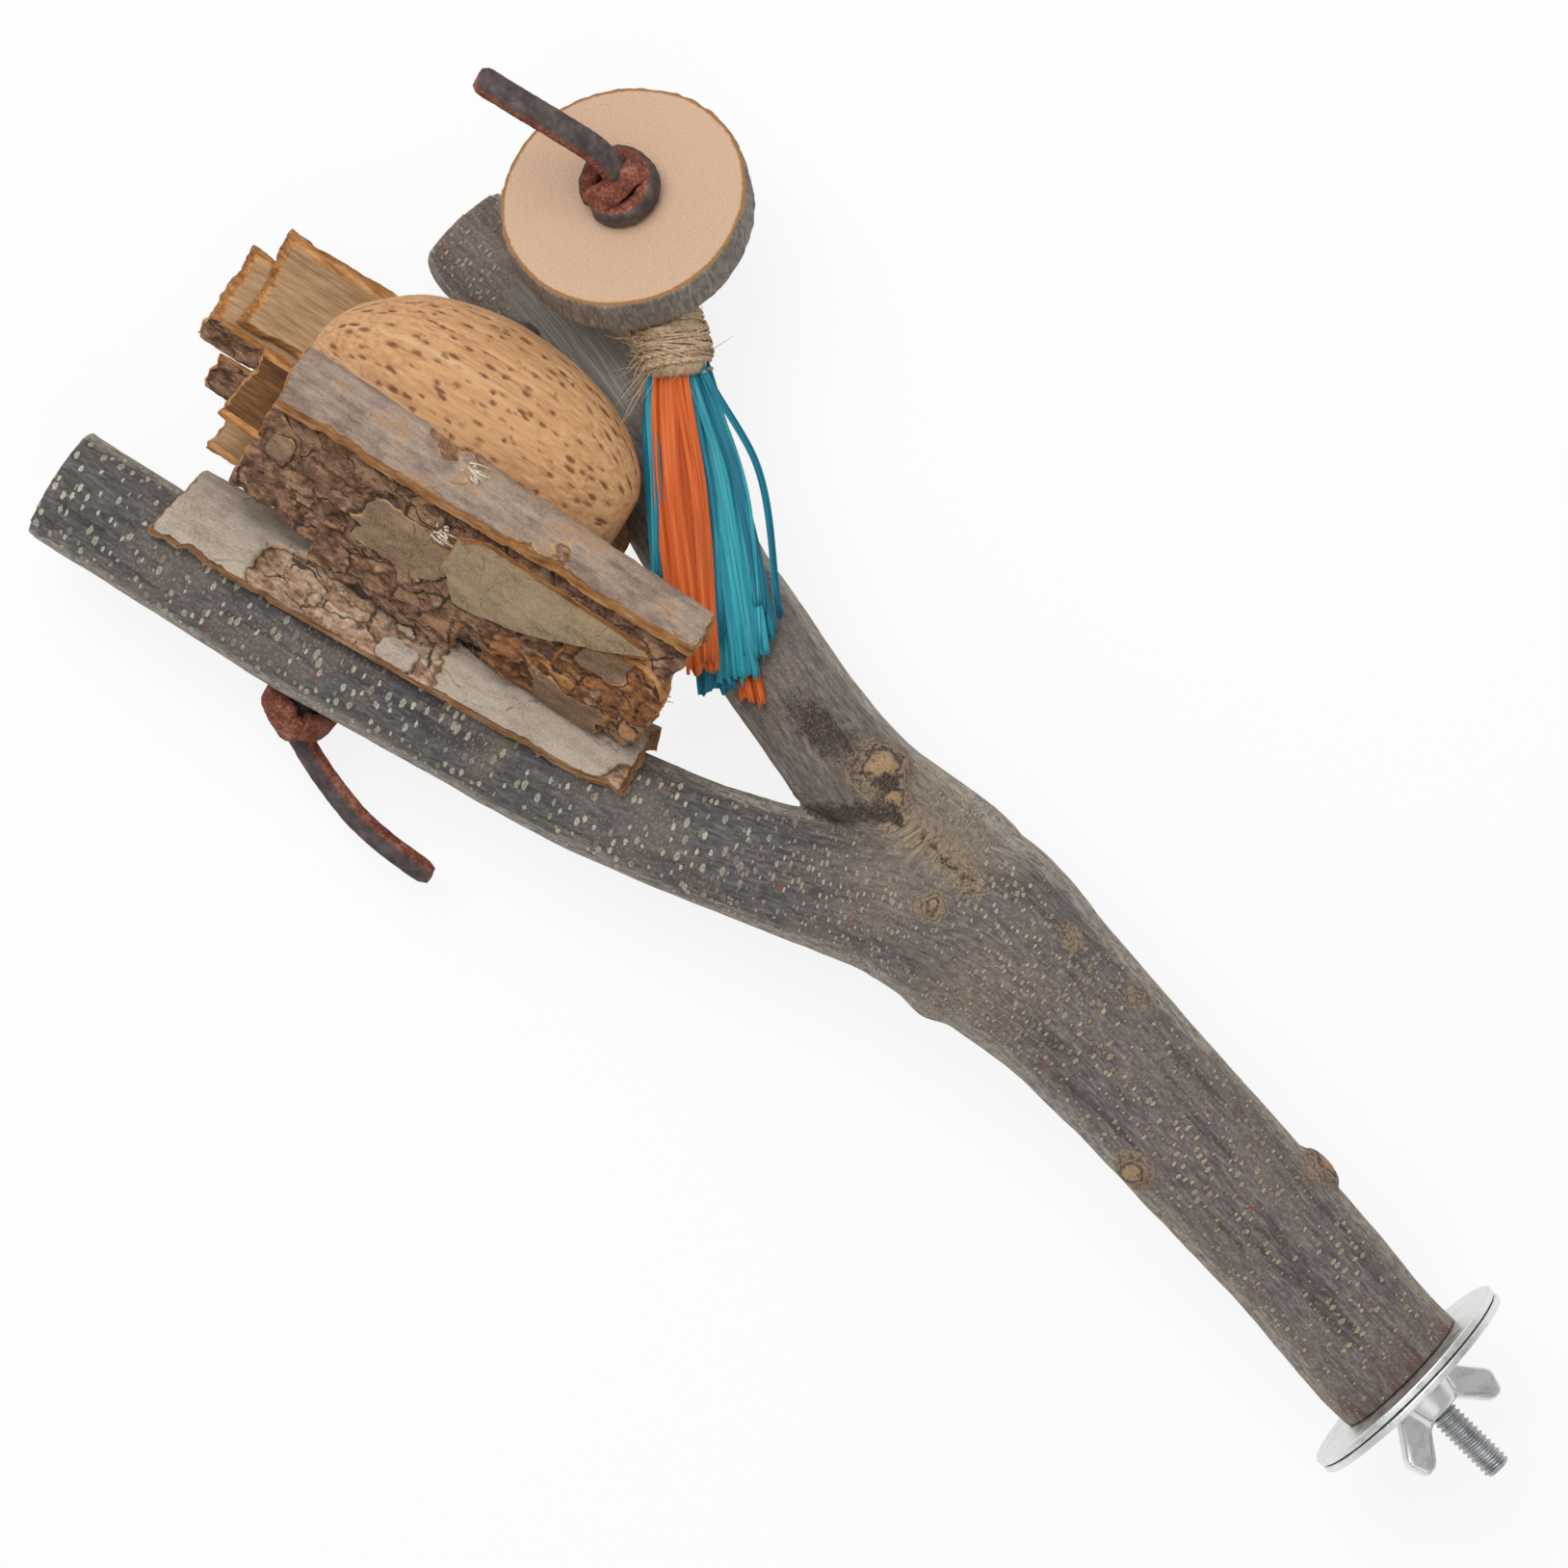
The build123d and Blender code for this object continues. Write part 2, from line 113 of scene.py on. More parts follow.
class Look:
    """A material whose node tree is built a node at a time."""

    def __init__(self, name, roughness=0.8, **sockets):
        self.material = bpy.data.materials.new(name)
        self.material.use_nodes = True
        self.tree = self.material.node_tree
        self.shader = self.tree.nodes["Principled BSDF"]
        self.shader.inputs["Roughness"].default_value = roughness
        for socket, value in sockets.items():
            self.shader.inputs[socket.replace("_", " ")].default_value = value

    def node(self, kind, inputs=None, **settings):
        """Adds a node, sets its properties, and sets or links its inputs."""
        made = self.tree.nodes.new(kind)
        for key, value in settings.items():
            setattr(made, key, value)
        for key, value in (inputs or {}).items():
            if isinstance(value, bpy.types.NodeSocket):
                self.tree.links.new(value, made.inputs[key])
            else:
                made.inputs[key].default_value = value
        return made

    def value(self, name):
        """A number stored on the mesh."""
        return self.node("ShaderNodeAttribute", attribute_name=name).outputs["Fac"]

    def vector(self, name):
        """A vector stored on the mesh."""
        return self.node("ShaderNodeAttribute", attribute_name=name).outputs["Vector"]

    def parts(self, name):
        """Three numbers stored on the mesh as a colour."""
        stored = self.node("ShaderNodeAttribute", attribute_name=name).outputs["Color"]
        return self.node("ShaderNodeSeparateColor", {"Color": stored}).outputs

    def place(self):
        """Place on the object."""
        return self.node("ShaderNodeTexCoord").outputs["Object"]

    def scaled(self, vector, factors):
        """A vector stretched by a factor on each axis."""
        return self.node("ShaderNodeVectorMath", {0: vector, 1: factors}, operation="MULTIPLY").outputs[0]

    def noise(self, vector, scale=1.0, detail=5.0, roughness=0.6):
        """Noise from 0 to 1."""
        inputs = {"Vector": vector, "Scale": scale, "Detail": detail, "Roughness": roughness}
        return self.node("ShaderNodeTexNoise", inputs).outputs["Fac"]

    def cells(self, vector, scale=1.0, feature="F1", flat=False):
        """Voronoi cells: the node itself, for its distance and colour."""
        dimensions = "2D" if flat else "3D"
        inputs = {"Vector": vector, "Scale": scale}
        return self.node("ShaderNodeTexVoronoi", inputs, voronoi_dimensions=dimensions, feature=feature)

    def step(self, value, low, high, to_low=0.0, to_high=1.0):
        """A value carried from one range to another with soft ends."""
        inputs = {"Value": value, "From Min": low, "From Max": high, "To Min": to_low, "To Max": to_high}
        return self.node("ShaderNodeMapRange", inputs, interpolation_type="SMOOTHSTEP").outputs["Result"]

    def calc(self, operation, a, b):
        """Arithmetic on two numbers."""
        return self.node("ShaderNodeMath", {0: a, 1: b}, operation=operation).outputs[0]

    def times(self, *values):
        """Product of several numbers."""
        product = values[0]
        for value in values[1:]:
            product = self.calc("MULTIPLY", product, value)
        return product

    def wobbled(self, value, cause, size):
        """A value moved up and down by a noise."""
        return self.calc("ADD", value, self.times(self.calc("SUBTRACT", cause, 0.5), size))

    def bands(self, value, *colours):
        """Colour that runs from a dark through a middle to a light display colour."""
        made = self.node("ShaderNodeValToRGB", {"Fac": value})
        elements = made.color_ramp.elements
        elements.new(0.5)
        for element, place, colour in zip(elements, band_places, colours):
            element.position = place
            element.color = tint(*colour)
        return made.outputs["Color"]

    def mix(self, share, a, b):
        """A share of b over a, each an output or a display colour."""
        a, b = (tint(*value) if isinstance(value, tuple) else value for value in (a, b))
        return self.node("ShaderNodeMix", {0: share, 6: a, 7: b}, data_type="RGBA").outputs[2]

    def over(self, colour, paint, value, low, high, most=1.0):
        """Paint laid over a colour where a value passes from low to high."""
        return self.mix(self.step(value, low, high, 0.0, most), colour, paint)

    def finish(self, colour, height=None, distance=0.4 * mm, strength=1.0, roughness=None):
        """Feeds the shader with a colour, a bump height and, if it varies, a roughness."""
        self.tree.links.new(colour, self.shader.inputs["Base Color"])
        if height is not None:
            inputs = {"Height": height, "Distance": distance, "Strength": strength}
            bump = self.node("ShaderNodeBump", inputs)
            self.tree.links.new(bump.outputs["Normal"], self.shader.inputs["Normal"])
        if roughness is not None:
            self.tree.links.new(roughness, self.shader.inputs["Roughness"])
        return self.material


class BranchLook(Look):
    """Grey-brown young bark with pale lenticels, knots, scars, a dark ridge and a stripped patch."""

    def __init__(self):
        super().__init__("branch_bark")
        self.bark, self.sheet = self.vector("bark"), self.vector("sheet")
        self.scar, self.dark, self.stripped = self.parts("marks")[:3]
        self.trunk, self.green, self.cut = self.parts("kinds")[:3]
        self.side, self.beige, self.bare = self.parts("zones")[:3]
        self.grain = self.noise(self.scaled(self.bark, (0.32, 1.25, 1.25)), 1.0, 8.0, 0.74)
        self.streak = self.noise(self.scaled(self.bark, (0.035, 0.36, 0.36)), 1.0, 4.0, 0.6)
        self.blotch = self.noise(self.scaled(self.bark, (0.7, 1.0, 1.0)), 0.06, 4.0, 0.6)
        self.fine = self.noise(self.bark, 2.2, 5.0, 0.72)
        self.wander = self.noise(self.bark, 2.4, 3.0, 0.65)
        self.allowed = self.calc("SUBTRACT", 1.0, self.bare)

    def ground(self):
        """Bark of the trunk and the prongs, worn beige in the fork, and made paler with painted light where
        it faces sideways.
        """
        cool = self.bands(self.grain, (55, 53, 55), (91, 87, 87), (136, 130, 126))
        warm = self.bands(self.grain, (65, 58, 59), (110, 101, 99), (166, 153, 146))
        colour = self.mix(self.trunk, cool, warm)
        colour = self.over(colour, (122, 112, 103), self.blotch, 0.44, 0.64, 0.5)
        colour = self.over(colour, (56, 51, 53), self.streak, 0.50, 0.64, 0.62)
        worn = self.bands(self.grain, (92, 81, 71), (146, 130, 111), (180, 163, 141))
        colour = self.mix(self.times(self.beige, self.step(self.fine, 0.36, 0.58, 0.35, 0.9)), colour, worn)
        # Painted light: where the surface faces sideways the bark is made paler, as if lit by a bright
        # surround
        painted_side_light = self.bands(self.grain, (112, 103, 95), (170, 160, 147), (206, 196, 182))
        rim = self.step(self.wobbled(self.side, self.streak, 0.9), 0.34, 0.66)
        return self.mix(self.times(rim, self.step(self.grain, 0.34, 0.56, 0.3, 0.9)), colour, painted_side_light)

    def lenticels(self, colour, height):
        """Pale dashes across the grain: broad on the prong, fine in the fork, clustered on the trunk."""
        fork = self.times(self.step(self.trunk, 0.02, 0.2), self.step(self.trunk, 0.97, 0.8))
        for stretch, share, band, spread, dim, pale in (
            ((0.47, 0.24, 0), self.step(self.trunk, 0.25, 0.05), 0.5, 0.09, (148, 134, 116), (210, 199, 178)),
            ((0.78, 0.38, 0), fork, 0.4, 0.10, (140, 124, 106), (200, 185, 162)),
            ((0.58, 0.33, 0), self.step(self.trunk, 0.75, 0.95), 0.3, 0.11, (144, 114, 90), (198, 177, 151)),
        ):
            spots = self.cells(self.scaled(self.sheet, stretch), 1.0, flat=True)
            hue = self.node("ShaderNodeSeparateColor", {"Color": spots.outputs["Color"]}).outputs
            cluster = self.noise(self.scaled(self.bark, (band, 1, 1)), spread, 3.0, 0.6)
            kept = self.times(share, self.allowed, self.step(hue[1], 0.15, 0.22))
            reach = spots.outputs["Distance"]
            for cause, size in ((self.wander, 0.42), (self.fine, 0.3), (hue[2], 0.16)):
                reach = self.wobbled(reach, cause, size)
            reach = self.calc("ADD", reach, self.step(cluster, 0.33, 0.49, 0.22, 0.0))
            halo = self.times(kept, self.step(reach, 0.42, 0.27, 0.0, 0.3))
            spot = self.times(kept, self.step(reach, 0.28, 0.17), self.step(hue[2], 0.0, 0.6, 0.6, 0.95))
            shade = self.bands(self.wobbled(self.fine, hue[0], 0.5), dim, pale, pale)
            shade = self.over(shade, (112, 96, 82), reach, 0.12, 0.02, 0.4)
            colour = self.mix(halo, colour, (58, 53, 54))
            colour = self.mix(spot, colour, shade)
            height = self.calc("ADD", height, self.times(spot, 0.5))
        return colour, height

    def flecks(self, colour):
        """A few red specks, small pale flecks, and rust at the butt."""
        specks = self.cells(self.scaled(self.sheet, (0.032, 0.036, 0)), 1.0, flat=True).outputs["Distance"]
        speck = self.step(self.wobbled(specks, self.wander, 0.05), 0.030, 0.014, 0.0, 0.65)
        colour = self.mix(self.times(self.allowed, speck), colour, (138, 76, 62))
        flecks = self.cells(self.scaled(self.sheet, (1.0, 0.62, 0)), 1.0, flat=True).outputs["Distance"]
        fleck = self.step(self.wobbled(flecks, self.wander, 0.5), 0.26, 0.12)
        fleck = self.times(fleck, self.step(self.blotch, 0.40, 0.58, 0.1, 0.6))
        colour = self.mix(fleck, colour, (150, 137, 120))
        along = self.node("ShaderNodeSeparateXYZ", {"Vector": self.bark}).outputs[0]
        rust = self.times(self.step(along, 13.0, 2.0), self.step(self.streak, 0.42, 0.6, 0.1, 0.7))
        return self.mix(rust, colour, (98, 66, 52))

    def knots(self, colour):
        """A tan core in a groove darkened with painted shade, with cracked husk lines round it."""
        knot = self.wobbled(self.value("knot"), self.noise(self.bark, 0.55, 2.0, 0.5), 0.6)
        lines = self.calc("SINE", self.times(knot, 30.0), 0.0)
        husk = self.bands(self.fine, (100, 86, 72), (138, 120, 101), (166, 148, 127))
        husk = self.over(husk, (60, 50, 43), lines, 0.45, 0.95, 0.65)
        tan = self.bands(self.fine, (118, 92, 66), (166, 136, 102), (194, 166, 130))
        husk = self.over(husk, tan, knot, 0.40, 0.32)
        # Painted shade: the groove round the core is darkened to stand for the shade that falls in it
        groove = self.times(self.step(knot, 0.32, 0.38), self.step(knot, 0.50, 0.43))
        groove = self.times(groove, self.step(self.fine, 0.35, 0.6, 0.95, 0.3))
        return self.over(colour, self.mix(groove, husk, (44, 36, 31)), knot, 0.98, 0.82)

    def marks(self, colour):
        """Crazed tan scars, the dark ridge, the stripped patch, the greenish node and the cut ends."""
        crazed = self.cells(self.scaled(self.bark, (0.55, 0.75, 0.75)), 1.0, "DISTANCE_TO_EDGE")
        crazed = self.wobbled(crazed.outputs["Distance"], self.fine, 0.12)
        patch = self.bands(self.fine, (116, 97, 76), (154, 134, 108), (184, 165, 138))
        patch = self.over(patch, (70, 60, 52), crazed, 0.09, 0.02, 0.75)
        scar = self.wobbled(self.scar, self.noise(self.bark, 0.7, 5.0, 0.68), 1.2)
        colour = self.over(colour, patch, scar, 0.3, 0.6, 0.85)
        scaly = self.wobbled(self.fine, self.wander, 0.7)
        scaly = self.bands(scaly, (30, 25, 22), (60, 50, 45), (128, 106, 84))
        broken = self.noise(self.scaled(self.bark, (0.5, 1, 1)), 0.6, 5.0, 0.7)
        ragged = self.wobbled(self.wobbled(self.dark, self.wander, 1.1), broken, 1.3)
        colour = self.over(colour, scaly, ragged, 0.3, 0.6, 0.9)
        fibre = self.noise(self.scaled(self.bark, (0.07, 1.9, 1.9)), 1.0, 6.0, 0.7)
        pale = self.bands(fibre, (98, 96, 92), (138, 136, 130), (176, 172, 164))
        colour = self.mix(self.stripped, colour, pale)
        green = self.times(self.green, self.step(self.fine, 0.4, 0.6, 0.0, 0.6))
        colour = self.mix(green, colour, (134, 120, 94))
        rings = self.noise(self.scaled(self.bark, (0.0, 1.0, 1.0)), 0.9, 5.0, 0.6)
        wood = self.bands(rings, (160, 128, 92), (190, 160, 122), (208, 182, 146))
        return self.mix(self.cut, colour, wood)

    def build(self):
        """The finished material."""
        colour, height = self.lenticels(self.ground(), self.times(self.grain, 0.55))
        colour = self.marks(self.knots(self.flecks(colour)))
        return self.finish(colour, self.calc("ADD", height, self.times(self.fine, 0.4)), 0.6 * mm, 0.9)


def zinc_look(name, dark, light):
    """Zinc plate with a faint cloudy grain."""
    look = Look(name, 0.4, Metallic=1.0)
    place = look.place()
    cloud = look.noise(place, 260.0, 6.0, 0.65)
    fine = look.noise(place, 2200.0, 3.0, 0.6)
    colour = look.bands(cloud, dark, light, light)
    return look.finish(colour, fine, 0.03 * mm, 0.35, look.step(cloud, 0.3, 0.7, 0.34, 0.5))


def leather_look():
    """Lace: dark grain face, reddish suede on the cut edges and the back."""
    look = Look("lace_leather", 0.85)
    place = look.place()
    nap = look.noise(place, 1500.0, 6.0, 0.75)
    cloud = look.noise(place, 300.0, 5.0, 0.65)
    suede = look.bands(look.wobbled(nap, cloud, 0.7), (82, 41, 31), (130, 72, 55), (190, 128, 102))
    grain = look.bands(cloud, (58, 48, 47), (82, 71, 69), (110, 98, 95))
    grain = look.over(grain, (128, 112, 106), nap, 0.62, 0.72, 0.5)
    ragged = look.step(look.wobbled(look.value("face"), cloud, 0.5), 0.36, 0.56)
    return look.finish(look.mix(ragged, suede, grain), look.mix(ragged, nap, cloud), 0.5 * mm, 0.9)


def slice_look():
    """Sanded end grain with faint rings, a thin orange-brown edge, and bark round the rim."""
    look = Look("slice_wood", 0.75)
    disc = look.vector("disc")
    x, y = look.node("ShaderNodeSeparateXYZ", {"Vector": disc}).outputs[:2]
    flat = look.scaled(disc, (1, 1, 0))
    side, rim = look.value("side"), look.value("rim")
    radius = look.calc("SQRT", look.calc("ADD", look.times(x, x), look.times(y, y)), 0.0)
    radius = look.wobbled(radius, look.noise(flat, 0.10, 3.0, 0.5), 5.0)
    ring = look.calc("SINE", look.times(radius, 2.6), 0.0)
    pores = look.noise(flat, 2.6, 6.0, 0.8)
    cloud = look.noise(flat, 0.07, 3.0, 0.5)
    edge = look.noise(disc, 0.8, 3.0, 0.6)
    face = look.bands(pores, (178, 140, 113), (216, 180, 151), (230, 198, 171))
    face = look.over(face, (196, 156, 126), ring, 0.1, 1.0, 0.07)
    face = look.over(face, (218, 180, 150), cloud, 0.45, 0.7, 0.4)
    face = look.over(face, (166, 116, 62), look.wobbled(rim, edge, 0.03), 0.952, 0.972)
    grain = look.noise(look.scaled(disc, (1.3, 1.3, 0.3)), 1.0, 7.0, 0.72)
    bark = look.bands(grain, (84, 78, 71), (134, 125, 114), (180, 171, 157))
    bark = look.over(bark, (92, 80, 74), cloud, 0.42, 0.62, 0.4)
    return look.finish(look.mix(side, face, bark), look.mix(side, pores, grain), 0.35 * mm, 0.7)


def shell_look():
    """Nut shell: tan-orange, with dark pits and fine fibres along it."""
    look = Look("nut_shell", 0.7)
    grain = look.vector("grain")
    fibre = look.noise(look.scaled(grain, (0.06, 1.0, 1.0)), 1.0, 7.0, 0.7)
    bands = look.noise(look.scaled(grain, (0.025, 0.2, 0.2)), 1.0, 3.0, 0.5)
    fine = look.noise(grain, 1.8, 4.0, 0.7)
    pit = look.wobbled(look.value("pit"), fine, 0.5)
    colour = look.bands(fibre, (164, 112, 72), (202, 151, 104), (226, 181, 134))
    colour = look.over(colour, (212, 164, 114), bands, 0.42, 0.68, 0.5)
    colour = look.over(colour, (224, 186, 138), look.value("ridge"), 0.3, 1.0, 0.55)
    colour = look.over(colour, (112, 66, 40), pit, 0.25, 0.75, 0.9)
    return look.finish(colour, look.calc("ADD", fibre, look.times(fine, 0.3)), 0.4 * mm, 0.7)


def bark_look(name, skin, rough, bare, wood, streaks=0.15):
    """Loose bark: skin that flakes to rough bark, with cut edges and a bare inner face.

    skin, rough, bare and wood are each a dark, a middle and a light colour.
    streaks is the share of fibre in the skin."""
    look = Look(name, 0.9)
    grain = look.vector("grain")
    inner, edge, worn = look.value("inner"), look.value("edge"), look.value("worn")
    fibre = look.noise(look.scaled(grain, (0.10, 1.0, 1.0)), 1.0, 8.0, 0.72)
    crumb = look.noise(look.scaled(grain, (0.5, 1.0, 1.0)), 1.0, 9.0, 0.8)
    fine = look.noise(grain, 2.4, 5.0, 0.72)
    patch = look.noise(look.scaled(grain, (0.14, 0.30, 0.30)), 1.0, 4.0, 0.62)
    bend = look.node("ShaderNodeTexNoise", {"Vector": grain, "Scale": 0.12, "Detail": 4.0}).outputs["Color"]
    bend = {0: bend, 1: (9, 9, 9), 2: grain}
    bent = look.node("ShaderNodeVectorMath", bend, operation="MULTIPLY_ADD").outputs[0]

    def cracks(stretch, wide, sharp, low, high, most):
        """Cracks between bent plates, where the patches let them show."""
        gaps = look.cells(look.scaled(bent, stretch), 1.0, "DISTANCE_TO_EDGE").outputs["Distance"]
        return look.times(look.step(gaps, wide, sharp), look.step(patch, low, high, 0.0, most))

    # Skin, with fibre in patches and thin cracks
    speckle = look.calc("ADD", look.times(fine, 1 - streaks), look.times(fibre, streaks))
    colour = look.bands(look.wobbled(speckle, patch, 0.7), *skin)
    colour = look.mix(look.times(look.step(patch, 0.53, 0.63, 0.0, 0.85), streaks), colour, wood[1])
    colour = look.mix(cracks((0.05, 0.085, 0.0), 0.016, 0.005, 0.48, 0.58, 0.55), colour, rough[0])

    # Rough bark under it, with painted shade in its hollows, and dark fissures
    under = look.bands(look.wobbled(crumb, patch, 0.9), *rough)
    under = look.over(under, rough[2], fibre, 0.57, 0.70, 0.65)
    under = look.over(under, wood[1], patch, 0.58, 0.68, 0.65)
    # Painted shade: the low spots of the crumb bump are darkened
    under = look.over(under, (34, 25, 20), crumb, 0.41, 0.33, 0.85)
    under = look.mix(cracks((0.09, 0.2, 0.0), 0.05, 0.012, 0.42, 0.54, 0.85), under, (28, 21, 17))
    colour = look.over(colour, under, worn, 0.48, 0.53)

    # Shadow and pale lip along the edge of the skin, then the inner face and the cut edges
    shadow = look.times(look.step(worn, 0.50, 0.54), look.step(worn, 0.66, 0.56))
    colour = look.mix(look.times(shadow, look.step(fine, 0.3, 0.6, 0.4, 0.9)), colour, rough[0])
    lip = look.times(look.step(worn, 0.43, 0.47), look.step(worn, 0.52, 0.49))
    colour = look.mix(look.times(lip, look.step(patch, 0.45, 0.55, 0.1, 0.8)), colour, wood[2])
    colour = look.mix(inner, colour, look.bands(fibre, *bare))
    colour = look.mix(edge, colour, look.bands(look.wobbled(fibre, patch, 0.6), *wood))
    return look.finish(colour, look.mix(inner, crumb, look.times(fibre, 0.35)), 0.9 * mm, 0.9)


def strip_look(name, dark, middle, light):
    """Dyed palm strip: long fibres, uneven dye."""
    look = Look(name, 0.6)
    grain = look.vector("grain")
    fibre = look.noise(look.scaled(grain, (0.05, 2.2, 2.2)), 1.0, 6.0, 0.7)
    dye = look.noise(look.scaled(grain, (0.05, 0.4, 0.4)), 1.0, 3.0, 0.5)
    colour = look.bands(fibre, dark, middle, light)
    colour = look.over(colour, dark, dye, 0.42, 0.66, 0.6)
    return look.finish(colour, fibre, 0.3 * mm, 0.8)


def jute_look():
    """Twine: pale tan fibre, lighter and darker along its strands."""
    look = Look("jute_twine", 0.9)
    fibre = look.noise(look.place(), 1100.0, 6.0, 0.75)
    colour = look.bands(fibre, (142, 112, 84), (192, 164, 132), (226, 206, 178))
    return look.finish(colour, fibre, 0.25 * mm, 0.8)


bark_material = BranchLook().build()
zinc = zinc_look("zinc_plate", (205, 209, 209), (240, 242, 240))
stud_zinc = zinc_look("zinc_thread", (150, 152, 155), (190, 192, 194))
leather = leather_look()
shell_material = shell_look()
slice_material = slice_look()
jute = jute_look()
tan_wood = ((118, 72, 38), (180, 122, 68), (220, 174, 118))
amber_wood = ((88, 56, 34), (156, 108, 66), (206, 164, 116))
beige = ((142, 106, 74), (178, 143, 105), (204, 174, 138))
brown = ((62, 43, 33), (144, 106, 81), (204, 168, 138))
pale_skin = ((166, 150, 133), (204, 188, 170), (226, 212, 196))
pale_rough = ((104, 76, 58), (200, 162, 130), (240, 220, 196))
green_skin = ((124, 104, 78), (166, 143, 112), (188, 166, 134))
dark_skin = ((108, 86, 66), (150, 124, 97), (176, 150, 120))
lilac_skin = ((128, 104, 94), (178, 155, 138), (220, 201, 178))
lilac_rough = ((140, 96, 66), (184, 148, 116), (212, 194, 172))
rust_skin = ((104, 76, 54), (140, 112, 86), (164, 140, 112))
rust_rough = ((74, 44, 26), (146, 94, 56), (198, 146, 98))
hollow_bare = ((70, 44, 26), (112, 76, 46), (158, 116, 74))
pale_bark = bark_look("pale_bark", pale_skin, pale_rough, beige, amber_wood)
green_bark = bark_look("green_bark", green_skin, brown, beige, tan_wood)
dark_bark = bark_look("dark_bark", dark_skin, brown, beige, tan_wood)
lilac_bark = bark_look("lilac_bark", lilac_skin, lilac_rough, beige, tan_wood, 0.6)
rust_bark = bark_look("rust_bark", rust_skin, rust_rough, tan_wood, tan_wood)
hollow_bark = bark_look("hollow_bark", brown, brown, hollow_bare, tan_wood)
deep_teal = strip_look("deep_teal_strip", (8, 84, 106), (20, 122, 146), (60, 158, 172))
teal = strip_look("teal_strip", (18, 116, 142), (46, 162, 176), (110, 198, 202))
orange = strip_look("orange_strip", (170, 66, 20), (218, 100, 36), (240, 140, 78))


# Mesh helpers
def make_object(name, vertices, faces, material, sharp=None):
    """A closed mesh object from points and faces, in the scene."""
    mesh = bpy.data.meshes.new(name)
    mesh.from_pydata([tuple(v) for v in vertices], [], faces)
    work = bmesh.new()
    work.from_mesh(mesh)
    bmesh.ops.recalc_face_normals(work, faces=work.faces)
    work.to_mesh(mesh)
    work.free()
    mesh.polygons.foreach_set("use_smooth", np.ones(len(mesh.polygons), bool))
    if sharp:
        mesh.set_sharp_from_angle(angle=math.radians(sharp))
    mesh.materials.append(material)
    made = bpy.data.objects.new(name, mesh)
    scene.collection.objects.link(made)
    return made


def put(obj, name, values, kind="FLOAT"):
    """Stores a value for each point of a mesh, for its material."""
    field = {"FLOAT": "value", "FLOAT_VECTOR": "vector", "FLOAT_COLOR": "color"}[kind]
    attribute = obj.data.attributes.new(name, kind, "POINT")
    attribute.data.foreach_set(field, np.asarray(values, np.float32).ravel())


def put_parts(obj, name, *values):
    """Stores three numbers from 0 to 1 for each point of a mesh as one colour."""
    put(obj, name, np.clip(np.stack([*values, np.ones(len(values[0]))], axis=1), 0, 1), "FLOAT_COLOR")


def carry(obj, body, slot, *nodes):
    """Sets a piece on its body and hides the solids it stands for; its finish, slot, is not used."""
    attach(obj, body)
    if nodes:
        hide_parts(*nodes)
    return obj


def ring_faces(rows, sides, wrap=False):
    """Faces of a tube of rows with a number of sides, joined end to end if it wraps."""
    faces = []
    for i in range(rows if wrap else rows - 1):
        n = (i + 1) % rows
        for j in range(sides):
            k = (j + 1) % sides
            faces.append((i * sides + j, i * sides + k, n * sides + k, n * sides + j))
    if not wrap:
        faces += [tuple(range(sides)), tuple(range((rows - 1) * sides, rows * sides))]
    return faces


def two_sheets(rows, columns):
    """Faces of a sheet of points and of the one behind it, and the points of their rim."""
    index = np.arange(rows * columns).reshape(rows, columns)
    faces = []
    for i in range(rows - 1):
        for j in range(columns - 1):
            corners = [int(k) for k in (index[i, j], index[i, j + 1], index[i + 1, j + 1], index[i + 1, j])]
            faces += [tuple(corners), tuple(k + rows * columns for k in reversed(corners))]
    rim = (*index[:, 0], *index[-1, 1:], *index[-2::-1, -1], *index[0, -2:0:-1])
    return faces, [int(k) for k in rim]


def band_faces(upper, under):
    """Faces between two rings of points."""
    return list(zip(upper, upper[1:] + upper[:1], under[1:] + under[:1], under))


def smooth_points(points, count):
    """Points along a smooth curve through the given ones."""
    given = np.array([tuple(p) for p in points], float)
    padded = np.vstack([2 * given[0] - given[1], given, 2 * given[-1] - given[-2]])
    places = []
    for share in np.linspace(0, len(given) - 1, count):
        i = min(int(share), len(given) - 2)
        u = share - i
        a, b, c, d = padded[i:i + 4]
        places.append(b + 0.5 * u * (c - a + u * (2 * a - 5 * b + 4 * c - d + u * (3 * (b - c) + d - a))))
    return np.array(places)


def route_points(points, per_run=14):
    """Points read from the NURBS spline that a cord's route controls."""
    curve = bpy.data.curves.new("route", "CURVE")
    curve.dimensions = "3D"
    curve.resolution_u = per_run
    spline = curve.splines.new("NURBS")
    spline.points.add(len(points) - 1)
    for control, place in zip(spline.points, points):
        control.co = (*place, 1)
    spline.order_u = 3
    spline.use_endpoint_u = True
    holder = bpy.data.objects.new("route", curve)
    mesh = bpy.data.meshes.new_from_object(holder)
    places = [v.co.copy() for v in mesh.vertices]
    bpy.data.objects.remove(holder)
    return places


def frames_along(places, side, from_end=False):
    """Side and up directions carried along a line of points without twist, from its start or its end."""
    places = [Vector(p) for p in places]
    last = len(places) - 1
    ways = [(places[min(i + 1, last)] - places[max(i - 1, 0)]).normalized() for i in range(last + 1)]
    sides = []
    for way in (ways[::-1] if from_end else ways):
        side = (side - way * side.dot(way)).normalized()
        sides.append(side)
    if from_end:
        sides.reverse()
    return sides, [way.cross(side) for way, side in zip(ways, sides)]


def sweep(name, places, side, section, material, from_end=False, taper=None):
    """A closed tube of a given section along points. section is a list of (across, up)."""
    places = [Vector(p) for p in places]
    sides, ups = frames_along(places, side, from_end)
    vertices = []
    for i, place in enumerate(places):
        size = taper(i / (len(places) - 1)) if taper else 1.0
        vertices += [place + (sides[i] * across + ups[i] * up) * size for across, up in section]
    return make_object(name, vertices, ring_faces(len(places), len(section)), material)


